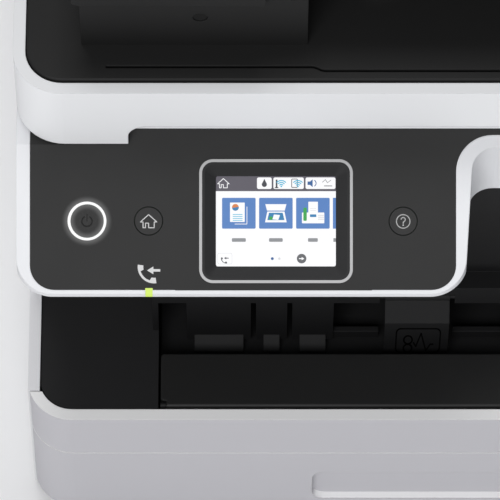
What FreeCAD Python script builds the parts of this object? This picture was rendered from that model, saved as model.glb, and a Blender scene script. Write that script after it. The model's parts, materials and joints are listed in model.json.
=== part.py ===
import FreeCAD, Part
import math
import os

# Desktop inkjet printer with scanner, document feeder, touch panel, paper cassette and ink tanks.
# X runs to the right, Y to the back, Z up. The origin is the middle of the footprint on the table.

V = FreeCAD.Vector

# ---- Driving dimensions, mm ----
HALF_W = 187.5
FRONT = -173.5
REAR = 173.5
WALL = 2.5
GAP = 0.5
FIT = 0.05
SEAM = 0.3
REACH = 200.0

FOOT_H = 3.0
FLOOR_TOP = 6.0
CAVITY_LEFT = -132.0
CAVITY_RIGHT = 91.0
DECK_TOP = 91.0
MID_DECK = 56.0
PLATE = 3.0
INNER_W = 184.7
SIDE_BACK = 160.7
FRAME_BACK = 160.5
ENGINE_BACK = 150.0
DECK_BACK = 55.0
CORNER_BACK = -95.0
CORNER_LEFT = -182.0
CORNER_X = 165.0
SQUARE_X = 150.0

FASCIA_FRONT = -172.3
FASCIA_SPLIT = -158.3
FASCIA_TOP = 92.0
FASCIA_WALL = 5.1
FASCIA_R = 19.0

WALL_FRONT = -120.5
BODY_TOP = 239.3
HOUSING_BOTTOM = 204.0
HOUSING_BACK = -102.5
BAND_FRONT = -128.8
LEFT_WALL_FRONT = -110.0
LEDGE_TOP = 130.0

PANEL_Y = -157.6
PANEL_Z = 219.1
PANEL_TILT = 28.0
TONGUE_FRONT_U = (FRONT - PANEL_Y) / math.cos(math.radians(PANEL_TILT))
TONGUE_RIGHT = -3.8
TONGUE_R = 15.0
RIM_DROP = 1.06
ARCH_X = 8.2
ARCH_U = 31.9
ARCH_R = 10.0
INLAY_T = 1.5

SCAN_FRONT = -120.3
SCAN_BOTTOM = 241.0
SCAN_RIM = 282.0
SCAN_R = 20.0
RIM_W = 5.0
GLASS_TOP = 269.5
SCAN_AXIS_Y = 162.0
SCAN_AXIS_Z = 250.0
LID_TOP = 283.0
LID_BACK = 156.0
LID_AXIS_Y = 163.0
LID_AXIS_Z = 288.0
ADF_FRONT = -98.0
ADF_BACK = 146.0
ADF_TOP = 346.0

ROLLER_Z = 104.0
FEED_Y = 50.0
EXIT_Y = -46.0
GEAR_TEETH = 28
PINION_TEETH = 8
MODULE = 3.0
RAIL_Y = 90.0
PAPER_X = -20.0

TANK_LEFT = 91.5
TANK_BACK = -123.0
TANK_TOP = 134.0
TANK_LID_TOP = 158.0
TANK_AXIS_Y = -127.0
TANK_AXIS_Z = 154.0


# ---- Helpers ----
def box(x0, x1, y0, y1, z0, z1):
    return Part.makeBox(x1 - x0, y1 - y0, z1 - z0, V(x0, y0, z0))


def rod_x(x0, x1, y, z, r):
    return Part.makeCylinder(r, x1 - x0, V(x0, y, z), V(1, 0, 0))


def rod_y(y0, y1, x, z, r):
    return Part.makeCylinder(r, y1 - y0, V(x, y0, z), V(0, 1, 0))


def rod_z(z0, z1, x, y, r):
    return Part.makeCylinder(r, z1 - z0, V(x, y, z0), V(0, 0, 1))


def fuse(shapes):
    return shapes[0].fuse(shapes[1:]).removeSplitter()


def prism_yz(points, x0, x1):
    """A polygon of (y, z) points extruded along X."""
    wire = Part.makePolygon([V(x0, y, z) for y, z in points + points[:1]])
    return Part.Face(wire).extrude(V(x1 - x0, 0, 0))


def corner_arc(cx, cy, r, start, z=0.0):
    """A quarter circle that starts at the given angle and turns left."""
    pts = [V(cx + r * math.cos(math.radians(start + a)), cy + r * math.sin(math.radians(start + a)), z)
           for a in (0, 45, 90)]
    return Part.Arc(*pts).toShape()


def rounded_wire(x0, x1, y0, y1, r, z=0.0):
    """A rectangle with four rounded corners, counter-clockwise from the front left."""
    return Part.Wire([
        Part.makeLine(V(x0 + r, y0, z), V(x1 - r, y0, z)),
        corner_arc(x1 - r, y0 + r, r, 270, z),
        Part.makeLine(V(x1, y0 + r, z), V(x1, y1 - r, z)),
        corner_arc(x1 - r, y1 - r, r, 0, z),
        Part.makeLine(V(x1 - r, y1, z), V(x0 + r, y1, z)),
        corner_arc(x0 + r, y1 - r, r, 90, z),
        Part.makeLine(V(x0, y1 - r, z), V(x0, y0 + r, z)),
        corner_arc(x0 + r, y0 + r, r, 180, z),
    ])


def slab(x0, x1, y0, y1, z0, z1, r):
    """A plate with rounded vertical corners."""
    return Part.Face(rounded_wire(x0, x1, y0, y1, r, z0)).extrude(V(0, 0, z1 - z0))


def on_panel(shape):
    """Moves a shape from panel coordinates (x, u up the slope, n outward) into the printer."""
    moved = shape.copy()
    moved.Placement = FreeCAD.Placement(
        V(0, PANEL_Y, PANEL_Z), FreeCAD.Rotation(V(1, 0, 0), PANEL_TILT)).multiply(shape.Placement)
    return moved


# ---- Lower body ----
ARM_Y = 60.0
ARM_Z = 68.0
ARM_HUB_R = 3.5
ARM_POST_X = (-64.0, 10.4)
POST_W = 3.6
RAIL_H = 2.8
BOX_FRONT = 98.0


def base_frame():
    front = FASCIA_SPLIT + GAP
    step = TANK_BACK + 1
    deck_z = MID_DECK + PLATE
    floor = box(-INNER_W, INNER_W, TANK_BACK + GAP, FRAME_BACK, FOOT_H, FLOOR_TOP)
    front_floor = box(-INNER_W, CAVITY_RIGHT, front, step, FOOT_H, FLOOR_TOP)
    left_wall = box(CAVITY_LEFT - 2, CAVITY_LEFT, front, ENGINE_BACK, FLOOR_TOP, DECK_TOP - 2)
    right_wall = box(CAVITY_RIGHT + 1, CAVITY_RIGHT + 3, step, ENGINE_BACK, FLOOR_TOP, deck_z)
    deck = box(CAVITY_LEFT, CAVITY_RIGHT, front, DECK_BACK, MID_DECK, deck_z)
    deck_step = box(CAVITY_RIGHT - 1, CAVITY_RIGHT + 3, step, DECK_BACK, MID_DECK, deck_z)
    ribs = [box(x, x + 4, BOX_FRONT, SIDE_BACK - 0.7, FLOOR_TOP, FLOOR_TOP + RAIL_H) for x in (106, 158)]
    posts = [box(x, x + POST_W, ARM_Y - 10, ARM_Y + 4, MID_DECK, ARM_Z + 6) for x in ARM_POST_X]
    frame = fuse([floor, front_floor, left_wall, right_wall, deck, deck_step, left_deck()] + ribs + posts)
    return frame.cut(rod_x(-70, 20, ARM_Y, ARM_Z, ARM_HUB_R + FIT))


def left_deck():
    """Level deck at the left of the tray; only its front left corner is rounded."""
    front = FASCIA_FRONT + FASCIA_WALL + GAP
    right = CAVITY_LEFT + 0.5
    low = DECK_TOP - 2
    inner_r = FASCIA_R - FASCIA_WALL - GAP
    rounded = slab(CORNER_LEFT, right, front, CORNER_BACK, low, DECK_TOP, inner_r)
    middle = box(-SQUARE_X, right, front, CORNER_BACK, low, DECK_TOP)
    back = box(CORNER_LEFT, -SQUARE_X, CORNER_BACK - 20, CORNER_BACK, low, DECK_TOP)
    return fuse([rounded, middle, back])


def side_outline():
    """Points, as (y, z), round the back and top of a side cover, down to the front housing."""
    return [(SIDE_BACK, FOOT_H), (SIDE_BACK, BODY_TOP), (HOUSING_BACK + SEAM, BODY_TOP),
            (HOUSING_BACK + SEAM, HOUSING_BOTTOM - SEAM)]


def left_side_cover():
    outline = side_outline() + [(LEFT_WALL_FRONT, HOUSING_BOTTOM - SEAM), (LEFT_WALL_FRONT, FASCIA_TOP),
                                (FASCIA_SPLIT, FASCIA_TOP), (FASCIA_SPLIT, FOOT_H)]
    wall = prism_yz(outline, -HALF_W, -HALF_W + WALL)
    strip = box(-HALF_W, -HALF_W + FASCIA_WALL, FASCIA_SPLIT, LEFT_WALL_FRONT,
                FASCIA_TOP - WALL, FASCIA_TOP)
    return fuse([wall, strip])


def right_side_cover():
    front = TANK_BACK + 0.4
    outline = side_outline() + [(front, HOUSING_BOTTOM - SEAM), (front, FOOT_H)]
    return prism_yz(outline, HALF_W - WALL, HALF_W)


PORTS = [("square", 106, 12), ("wide", 124, 16), ("phone", 146, 12), ("phone", 161, 12)]
PORT_Z0 = 70.0
PORT_Z1 = 84.0
PORT_GAP = 0.4
SCREW_R = 1.5
HEAD_R = 3.2
HEAD_H = 2.0
CROSS = 2.4
REAR_DOOR = (-110.0, 70.0, 60.5, 184.0)
BOX_SLOT = (100.0, 168.0, 8.5, 58.0)
INLET_SLOT = (-163.5, -140.5, 19.5, 41.5)
SCAN_HINGE_X = 140.0
SCAN_PIN_R = 3.0
EAR_W = 9.0
REAR_IN = 161.0
REAR_START = 140.0
DOOR_AXIS_Y = 170.0
DOOR_PIN_R = 2.0
DOOR_AXIS_UP = 5.5
THROUGH = (150.0, 180.0)
SCREW_XZ = [(-176, 14), (176, 14), (-176, 225), (176, 225), (-30, 205), (-30, 30)]


def rear_housing():
    shell = slab(-HALF_W, HALF_W, REAR_START, REAR, FOOT_H, BODY_TOP, 8)
    shell = shell.cut(box(-REACH, REACH, 0, REAR_IN, 0, BODY_TOP + 1))
    inner_x = HALF_W - WALL
    shell = shell.cut(box(-inner_x, inner_x, REAR_IN - 1, REAR - WALL, FOOT_H + WALL, BODY_TOP + 1))
    x0, x1, z0, z1 = REAR_DOOR
    flange = box(x0 - 3.5, x1 + 3.5, REAR_IN, REAR - 1, z0 - WALL, z1 + WALL)
    shell = fuse([shell, flange]).cut(box(x0, x1, *THROUGH, z0, z1))
    shell = shell.cut(rod_x(x0 - 4, x1 + 4, DOOR_AXIS_Y, z0 + DOOR_AXIS_UP, DOOR_PIN_R + FIT))
    for x0, x1, z0, z1 in (BOX_SLOT, INLET_SLOT):
        shell = shell.cut(box(x0, x1, *THROUGH, z0, z1))
    for _, x, width in PORTS:
        half = width / 2 + PORT_GAP
        shell = shell.cut(box(x - half, x + half, *THROUGH, PORT_Z0 - PORT_GAP, PORT_Z1 + PORT_GAP))
    for x, z in SCREW_XZ:
        shell = shell.cut(rod_y(*THROUGH, x, z, SCREW_R + 0.1))
        shell = shell.cut(rod_y(REAR - HEAD_H, THROUGH[1], x, z, HEAD_R + 0.4))
    posts = []
    for x in (-SCAN_HINGE_X, SCAN_HINGE_X):
        foot = box(x - EAR_W, x + EAR_W, REAR_IN, REAR_IN + 7, REACH, SCAN_AXIS_Z)
        eye = rod_x(x - EAR_W, x + EAR_W, SCAN_AXIS_Y, SCAN_AXIS_Z, 2 * SCAN_PIN_R)
        arm = box(x - EAR_W, x + EAR_W, SCAN_AXIS_Y - 6, SCAN_AXIS_Y + 6, SCAN_AXIS_Z - 18, SCAN_AXIS_Z)
        posts += [foot, eye, arm]
    bores = rod_x(-CORNER_X, CORNER_X, SCAN_AXIS_Y, SCAN_AXIS_Z, SCAN_PIN_R + FIT)
    return fuse([shell] + posts).cut(bores)


def case_screws():
    heads = []
    for x, z in SCREW_XZ:
        head = rod_y(REAR - HEAD_H, REAR - 0.2, x, z, HEAD_R)
        head = head.cut(box(x - CROSS, x + CROSS, REAR - 1, REAR, z - 0.5, z + 0.5))
        head = head.cut(box(x - 0.5, x + 0.5, REAR - 1, REAR, z - CROSS, z + CROSS))
        heads.append(head.fuse(rod_y(REAR - 11, REAR - HEAD_H, x, z, SCREW_R)))
    return Part.makeCompound(heads)


def rubber_feet():
    return Part.makeCompound([rod_z(0, FOOT_H, x, y, 9)
                              for x, y in ((-165, -135), (165, -100), (-165, 145), (165, 145))])


FLAP_X0 = -34.5
FLAP_X1 = -6.9
FLAP_SLOT = 2.2
FLAP_Y = BAND_FRONT + 1.3
FLAP_Z = 120.5
FLAP_FRONT = -135.7
FIN_X = ((-119.4, -91.8), (-89.6, -76.2), (-74.0, -56.3))
FIN_LOW = 82.5
SILL_TOP = 88.0
BAND_LOW = 116.5


def exit_cover():
    """Black inner front: back walls over the bay, ledge, band over the exit slot, fins and sills."""
    z_top = HOUSING_BOTTOM - SEAM
    back = WALL_FRONT + WALL
    wall = box(CAVITY_LEFT + 0.5, INNER_W, WALL_FRONT, back, LEDGE_TOP, z_top)
    left = box(-INNER_W, CAVITY_LEFT + 0.5, LEFT_WALL_FRONT, LEFT_WALL_FRONT + WALL, DECK_TOP + SEAM, z_top)
    side = box(CAVITY_LEFT - 2, CAVITY_LEFT + 0.5, BAND_FRONT, LEFT_WALL_FRONT + WALL,
               DECK_TOP + SEAM, z_top)
    right = box(CAVITY_RIGHT, INNER_W, WALL_FRONT, back, 70, LEDGE_TOP)
    ledge = box(CAVITY_LEFT + 0.5, CAVITY_RIGHT, BAND_FRONT, back, LEDGE_TOP - WALL, LEDGE_TOP)
    band = box(CAVITY_LEFT + 0.5, CAVITY_RIGHT, BAND_FRONT, BAND_FRONT + WALL, BAND_LOW, LEDGE_TOP)
    pieces = [wall, left, side, right, ledge, band]
    for x0, x1 in FIN_X:
        for a, b in ((x0, x1), (2 * PAPER_X - x1, 2 * PAPER_X - x0)):
            end = min(b, CAVITY_RIGHT)
            pieces.append(box(a, end, BAND_FRONT, BAND_FRONT + WALL, FIN_LOW, BAND_LOW + 1))
            pieces.append(box(a, a + 1.6, BAND_FRONT, BAND_FRONT + 14, 95, BAND_LOW + 1))
            pieces.append(box(a, a + 1.6, BAND_FRONT, back, BAND_LOW, LEDGE_TOP))
            toe = [(BAND_FRONT + 0.5, FIN_LOW + 5), (BAND_FRONT - 5.6, FIN_LOW - 1.2),
                   (BAND_FRONT + 0.5, FIN_LOW - 1.2)]
            pieces.append(prism_yz(toe, a + 3.2, end - 3.2))
    for x0, x1 in ((FIN_X[-1][1], FLAP_X0 - FLAP_SLOT), (FLAP_X1 + FLAP_SLOT, 2 * PAPER_X - FIN_X[-1][1])):
        pieces.append(box(x0, x1, BAND_FRONT + 1, BAND_FRONT + 1 + WALL, FIN_LOW, SILL_TOP))
    cover = fuse(pieces)
    notch = box(FLAP_X0 - FLAP_SLOT, FLAP_X1 + FLAP_SLOT, BAND_FRONT - 1, BAND_FRONT + 4, BAND_LOW - 1, 124)
    bore = rod_x(FLAP_X0 - 5, FLAP_X1 + 5, FLAP_Y, FLAP_Z, 1.0 + FIT)
    return cover.cut(notch).cut(bore)


def jam_flap():
    """Hinged flap over the exit slot: slopes out from its pin, then hangs down."""
    outline = [(FLAP_Y - 1.3, 118.9), (FLAP_FRONT, 111), (FLAP_FRONT, 83.5), (FLAP_FRONT + 2, 83.5),
               (FLAP_FRONT + 2, 110.2), (FLAP_Y + 0.2, 117.5)]
    skin = prism_yz(outline, FLAP_X0, FLAP_X1)
    barrel = rod_x(FLAP_X0, FLAP_X1, FLAP_Y, FLAP_Z, 1.8)
    neck = box(FLAP_X0, FLAP_X1, FLAP_Y - 1.2, FLAP_Y + 0.6, 117.6, FLAP_Z)
    pin = rod_x(FLAP_X0 - 4.2, FLAP_X1 + 4.2, FLAP_Y, FLAP_Z, 1.0)
    return fuse([skin, barrel, neck, pin])


# ---- Front housing and control panel ----
def ribbon_face(inset):
    """Outline of the front housing in panel coordinates: tongue, arch, then the right front corner."""
    left = -HALF_W + inset
    low = TONGUE_FRONT_U + inset
    r = TONGUE_R
    back = 70.0
    tongue_x = TONGUE_RIGHT - r
    foot = V(TONGUE_RIGHT - inset, low + r - inset, 0)
    head = V(ARCH_X - ARCH_R - inset, ARCH_U, 0)
    arch_mid = math.radians(135)
    arch_r = ARCH_R + inset
    top = ARCH_U + ARCH_R + inset
    turn_x = HALF_W - SCAN_R
    turn_u = ARCH_U + ARCH_R + SCAN_R
    return Part.Face(Part.Wire([
        Part.makeLine(V(left, back, 0), V(left, low + r - inset, 0)),
        corner_arc(left + r - inset, low + r - inset, r - inset, 180),
        Part.makeLine(V(left + r - inset, low, 0), V(tongue_x, low, 0)),
        corner_arc(tongue_x, low + r - inset, r - inset, 270),
        Part.makeLine(foot, head),
        Part.Arc(head, V(ARCH_X + arch_r * math.cos(arch_mid), ARCH_U + arch_r * math.sin(arch_mid), 0),
                 V(ARCH_X, top, 0)).toShape(),
        Part.makeLine(V(ARCH_X, top, 0), V(turn_x, top, 0)),
        corner_arc(turn_x, turn_u, SCAN_R - inset, 270),
        Part.makeLine(V(HALF_W - inset, turn_u, 0), V(HALF_W - inset, back, 0)),
        Part.makeLine(V(HALF_W - inset, back, 0), V(left, back, 0)),
    ]))


INLAY_LEFT = -181.8
INLAY_RIGHT = -8.3
INLAY_LOW = -16.25
INLAY_TOP = 49.5
INLAY_R = 10.0
INLAY_ARCH_R = 15.0


def inlay_face(grow):
    """Outline of the black panel sheet in panel coordinates, grown outward by a little for its recess."""
    r = INLAY_R + grow
    left = INLAY_LEFT - grow
    low = INLAY_LOW - grow
    right = INLAY_RIGHT + grow
    arch_r = INLAY_ARCH_R - grow
    arch_x = right + arch_r
    mid = math.radians(135)
    return Part.Face(Part.Wire([
        Part.makeLine(V(left, INLAY_TOP, 0), V(left, low + r, 0)),
        corner_arc(left + r, low + r, r, 180),
        Part.makeLine(V(left + r, low, 0), V(right - r, low, 0)),
        corner_arc(right - r, low + r, r, 270),
        Part.makeLine(V(right, low + r, 0), V(right, ARCH_U, 0)),
        Part.Arc(V(right, ARCH_U, 0),
                 V(arch_x + arch_r * math.cos(mid), ARCH_U + arch_r * math.sin(mid), 0),
                 V(arch_x, ARCH_U + arch_r, 0)).toShape(),
        Part.makeLine(V(arch_x, ARCH_U + arch_r, 0), V(CORNER_X, ARCH_U + arch_r, 0)),
        Part.makeLine(V(CORNER_X, ARCH_U + arch_r, 0), V(CORNER_X, INLAY_TOP, 0)),
        Part.makeLine(V(CORNER_X, INLAY_TOP, 0), V(left, INLAY_TOP, 0)),
    ]))


def drop(face, upper, depth):
    """Vertical prism under a sloping face, from the given offset below the slope."""
    placed = on_panel(face.translated(V(0, 0, upper)))
    return placed.extrude(V(0, 0, -depth))


def keep_zone(z0, z_low=BODY_TOP):
    """Space of the front housing: it may rise under the scanner only between its corners."""
    high = box(-CORNER_X, CORNER_X, FRONT - 1, -112.5, z0, 244)
    low = box(-HALF_W - 1, HALF_W + 1, FRONT - 1, HOUSING_BACK, z0, z_low)
    return high.fuse(low)


def tongue_trim(inset):
    """Space outside the tongue's edge, which turns square to the panel just under the rim."""
    block = box(-HALF_W - 5, 5, TONGUE_FRONT_U - 15, TONGUE_FRONT_U + TONGUE_R, -30, 1)
    core = ribbon_face(inset - RIM_DROP).translated(V(0, 0, -31)).extrude(V(0, 0, 33))
    return on_panel(block.cut(core))


def corner_sheet(grow):
    """Level end of the black sheet in front of the scanner's left corner."""
    return box(INLAY_LEFT - grow, -CORNER_X, -119.7, -107, BODY_TOP - INLAY_T - 0.2, BODY_TOP + grow)


RING = (-112.9, -50.3, -13.5, 37.0)
RING_R = 5.6
RING_W = 1.2
SCREEN = (-106.1, -57.2, -6.7, 30.06)
POWER = (-158.6, 11.8)
HOME = (-133.5, 11.8)
HELP = (-29.8, 11.7)
POWER_R = 6.6
LIGHT_INNER = 6.85
LIGHT_OUTER = 7.9
KEY_R = 5.6
KEY_HOLE_R = 5.9
LED_X = (-134.8, -131.9)
DEEP = 80.0
INLAY_REACH = -106.0


def ring_slab(inset, n0, n1):
    x0, x1, u0, u1 = RING
    return slab(x0 + inset, x1 - inset, u0 + inset, u1 - inset, n0, n1, RING_R - inset)


def panel_holes(grow):
    """Cut-outs through the panel for the screen frame, the power light and the two keys."""
    tools = [ring_slab(-grow, -12, 3), rod_z(-12, 3, POWER[0], POWER[1], LIGHT_OUTER + grow)]
    tools += [rod_z(-12, 3, x, u, KEY_HOLE_R + grow) for x, u in (HOME, HELP)]
    return on_panel(Part.makeCompound(tools))


def light_block():
    return box(LED_X[0], LED_X[1], FRONT - 1, FRONT + 1.5, HOUSING_BOTTOM + 2, 215)


def front_housing():
    solid = drop(ribbon_face(0), 0, DEEP).common(keep_zone(HOUSING_BOTTOM))
    hollow = drop(ribbon_face(WALL), -INLAY_T - 2, DEEP)
    hollow = hollow.common(keep_zone(HOUSING_BOTTOM - 5, BODY_TOP - WALL))
    hollow = hollow.cut(box(-REACH, REACH, INLAY_REACH, -90, REACH, BODY_TOP + 20)).cut(tongue_trim(WALL))
    shell = solid.cut(hollow).cut(tongue_trim(0)).cut(corner_sheet(FIT))
    shell = shell.cut(box(-HALF_W + WALL, HALF_W - WALL, INLAY_REACH, -90, REACH, BODY_TOP - WALL))
    recess = on_panel(inlay_face(FIT).translated(V(0, 0, -INLAY_T))).extrude(on_panel_normal(10))
    return shell.cut(recess).cut(panel_holes(0.2)).cut(light_block())


def on_panel_normal(length):
    """A vector of the given length out of the panel's face."""
    tilt = math.radians(PANEL_TILT)
    return V(0, -length * math.sin(tilt), length * math.cos(tilt))


def panel_face():
    sheet = on_panel(inlay_face(0).extrude(V(0, 0, -INLAY_T))).cut(panel_holes(0.0))
    return fuse([sheet.common(keep_zone(HOUSING_BOTTOM)), corner_sheet(0)])


def panel_underside():
    under = drop(ribbon_face(WALL + SEAM), -INLAY_T - 2, DEEP).cut(tongue_trim(WALL + SEAM))
    return under.common(box(-HALF_W, 5, FRONT, WALL_FRONT + 8, HOUSING_BOTTOM, HOUSING_BOTTOM + 2))


def screen_ring():
    return on_panel(ring_slab(0, -3, 0.4).cut(ring_slab(RING_W, -4, 1)))


def screen_bezel():
    """Recessed frame that slopes in from the ring to the edge of the display."""
    top = 0.1
    block = ring_slab(RING_W + 0.02, -2.6, top)
    x0, x1, u0, u1 = RING
    rim = RING_W + 1.0
    outer = rounded_wire(x0 + rim, x1 - rim, u0 + rim, u1 - rim, RING_R - rim, top)
    inner = rounded_wire(SCREEN[0], SCREEN[1], SCREEN[2], SCREEN[3], 0.8, -1.8)
    funnel = Part.makeLoft([outer, inner], True)
    window = slab(SCREEN[0], SCREEN[1], SCREEN[2], SCREEN[3], -4, 1, 0.8)
    return on_panel(block.cut(funnel).cut(window))


def touch_screen():
    return on_panel(box(SCREEN[0] - 2, SCREEN[1] + 2, SCREEN[2] - 2, SCREEN[3] + 2, -4.2, -2.65))


def panel_board():
    board = box(-172, -20, 2, 26, -9.6, -8)
    module = box(SCREEN[0] - 2, SCREEN[1] + 2, SCREEN[2] - 2, SCREEN[3] + 2, -8, -4.3)
    switches = [box(x - 3, x + 3, u - 3, u + 3, -8, -6.2) for x, u in (POWER, HOME, HELP)]
    return on_panel(fuse([board, module] + switches))


def power_ring_light():
    tube = rod_z(-3.4, FIT, POWER[0], POWER[1], LIGHT_OUTER)
    return on_panel(tube.cut(rod_z(-4, 1, POWER[0], POWER[1], LIGHT_INNER)))


def fax_light():
    return drop(ribbon_face(0), 0, DEEP).common(light_block()).cut(tongue_trim(0))


def key(centre, r):
    cap = rod_z(-3, 0, centre[0], centre[1], r)
    stem = rod_z(-5.2, -3, centre[0], centre[1], 2)
    return on_panel(fuse([cap, stem]))


# ---- Scanner unit ----
RECESS_X = 141.7
RECESS_TOP = 255.5
RECESS_R = 8.5
RECESS_BACK = -107.0
GLASS_SEAT = 266.5
SCAN_CEILING = 264.5
LID_HINGE_X = 106.0
LID_PIN_R = 2.5
LID_EYE_R = 5.0


def scanner_base():
    """Scanner shell: rim round the lid, glass seat, cavity, and a front wall with a finger recess."""
    body = slab(-HALF_W, HALF_W, SCAN_FRONT, REAR, SCAN_BOTTOM, SCAN_RIM, SCAN_R)
    body = body.cut(slab(-HALF_W + RIM_W, HALF_W - RIM_W, SCAN_FRONT + RIM_W, REAR - RIM_W,
                         GLASS_TOP, SCAN_RIM + 1, SCAN_R - RIM_W))
    body = body.cut(box(-176, 176, -104, REAR_START, SCAN_BOTTOM + WALL, SCAN_CEILING))
    pocket = slab(-HALF_W + WALL, HALF_W - WALL, SCAN_FRONT + WALL, -DEEP,
                  SCAN_BOTTOM - 1, SCAN_CEILING - 0.5, SCAN_R - WALL)
    body = body.cut(pocket.common(box(-REACH, REACH, SCAN_FRONT, RECESS_BACK, 0, SCAN_RIM)))
    recess = box(-RECESS_X, RECESS_X, SCAN_FRONT - 1, RECESS_BACK, SCAN_BOTTOM - 11, RECESS_TOP)
    rounds = [e for e in recess.Edges if all(v.Z > RECESS_TOP - 0.1 for v in e.Vertexes)
              and abs(e.Vertexes[0].X - e.Vertexes[1].X) < 0.1]
    body = body.cut(recess.makeFillet(RECESS_R, rounds))
    x0, x1, y0, y1 = GLASS
    body = body.cut(box(x0 + 3, x1 - 3, y0 + 3, y1 - 3, SCAN_CEILING - 4.5, SCAN_RIM))
    body = body.cut(box(x0, x1, y0, y1, GLASS_SEAT, SCAN_RIM))
    undercut = box(-REACH, REACH, SCAN_AXIS_Y, REAR + 1, SCAN_BOTTOM - 1, SCAN_AXIS_Z)
    heel_r = SCAN_AXIS_Z - SCAN_BOTTOM - 0.2
    undercut = undercut.cut(rod_x(-REACH - 1, REACH + 1, SCAN_AXIS_Y, SCAN_AXIS_Z, heel_r))
    body = body.cut(undercut)
    body = fuse([body, box(-168, 168, -1.5, 1.5, SCAN_BOTTOM + 2, SCAN_AXIS_Z - 1)])
    hinges = []
    for side in (-1, 1):
        x = side * SCAN_HINGE_X
        clear = EAR_W + 2
        body = body.cut(box(x - clear, x + clear, SCAN_AXIS_Y - 16, REAR + 1,
                            SCAN_BOTTOM - 1, SCAN_AXIS_Z + 10))
        hinges.append(rod_x(x - clear - 1, x + clear + 1, SCAN_AXIS_Y, SCAN_AXIS_Z, SCAN_PIN_R))
        x = side * LID_HINGE_X
        post = box(x - 6, x + 6, LID_AXIS_Y - LID_EYE_R, LID_AXIS_Y + 7, GLASS_TOP - 1, LID_AXIS_Z)
        eye = rod_x(x - 6, x + 6, LID_AXIS_Y, LID_AXIS_Z, LID_EYE_R)
        bore = rod_x(x - 7, x + 7, LID_AXIS_Y, LID_AXIS_Z, LID_PIN_R + FIT)
        hinges.append(fuse([post, eye]).cut(bore))
    return fuse([body] + hinges)


GLASS = (-150.0, 160.0, -102.0, 124.0)


def scanner_glass():
    x0, x1, y0, y1 = GLASS
    return box(x0 + 0.1, x1 - 0.1, y0 + 0.1, y1 - 0.1, GLASS_SEAT, GLASS_TOP)


def scan_carriage():
    bar = box(-172, -150, -98, 130, 249.5, 262.5)
    feet = [box(-172, -150, y0, y1, 244.5, 249.5) for y0, y1 in ((-12, -1.6), (1.6, 12))]
    lens = box(-163, -159, -94, 122, 262.5, 263.5)
    return fuse([bar, lens] + feet)


POCKET_FRONT = -110.75
POCKET_STEP = 1.8
GROOVE_W = 1.1
GROOVE_DEPTH = 3.0
POCKET_LEFT = -150.0
POCKET_BACK = 120.0
ARM_OUT = 10.5
LID_LOW = 271.0


def pocket_face(inset):
    """Area of the paper pocket on the lid; its front line steps forward in an S bend."""
    front = POCKET_FRONT + inset
    right = 178 - inset
    bend_x = -64.8
    half = 3.0
    mid = V(bend_x, front + POCKET_STEP / 2, LID_TOP)
    start = V(bend_x - half, front + POCKET_STEP, LID_TOP)
    end = V(bend_x + half, front, LID_TOP)
    return Part.Face(Part.Wire([
        Part.makeLine(V(POCKET_LEFT, POCKET_BACK, LID_TOP), V(POCKET_LEFT, front + POCKET_STEP, LID_TOP)),
        Part.makeLine(V(POCKET_LEFT, front + POCKET_STEP, LID_TOP), start),
        Part.Arc(start, V(bend_x - half / 2, front + POCKET_STEP - 0.23, LID_TOP), mid).toShape(),
        Part.Arc(mid, V(bend_x + half / 2, front + 0.23, LID_TOP), end).toShape(),
        Part.makeLine(end, V(right, front, LID_TOP)),
        Part.makeLine(V(right, front, LID_TOP), V(right, POCKET_BACK, LID_TOP)),
        Part.makeLine(V(right, POCKET_BACK, LID_TOP), V(POCKET_LEFT, POCKET_BACK, LID_TOP)),
    ]))


def document_cover():
    """Lid: a slab inset in the rim, with a groove round its paper pocket and two hinge arms."""
    lid = slab(-HALF_W + RIM_W + GAP, HALF_W - RIM_W - GAP, SCAN_FRONT + RIM_W + 0.9, LID_BACK,
               LID_LOW, LID_TOP, SCAN_R - RIM_W - GAP)
    top_edges = [e for e in lid.Edges if all(abs(v.Z - LID_TOP) < 0.01 for v in e.Vertexes)]
    lid = lid.makeChamfer(0.6, top_edges)
    groove = pocket_face(0).cut(pocket_face(GROOVE_W))
    lid = lid.cut(groove.extrude(V(0, 0, -GROOVE_DEPTH)))
    arms = []
    for side in (-1, 1):
        x = side * LID_HINGE_X
        for x0 in (x - ARM_OUT, x + ARM_OUT - 4):
            arm = box(x0, x0 + 4, 149, LID_AXIS_Y, LID_TOP - 0.2, LID_AXIS_Z + LID_EYE_R)
            arms.append(fuse([arm, rod_x(x0, x0 + 4, LID_AXIS_Y, LID_AXIS_Z, LID_EYE_R)]))
        arms.append(rod_x(x - ARM_OUT, x + ARM_OUT, LID_AXIS_Y, LID_AXIS_Z, LID_PIN_R))
    return fuse([lid] + arms)


def cover_pad():
    return box(-148, 158, -100, 122, 269.9, LID_LOW)


# ---- Document feeder ----
FEEDER = (-160.0, -82.0)
COVER_AXIS = (-160.3, 321.0)
TRAY_AXIS = (-75.0, 319.5)
TRAY_SLOPE = 4.0
ADF_DECK = 317.5
ADF_ROLLER = (-112.0, 304.0)
ADF_SHAFT_R = 3.0
TRAY_PIN_R = 2.0
BARREL_R = 2.7
SLOT_X = (30.0, 36.0)
FENCE_Y = -88.0


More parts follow.
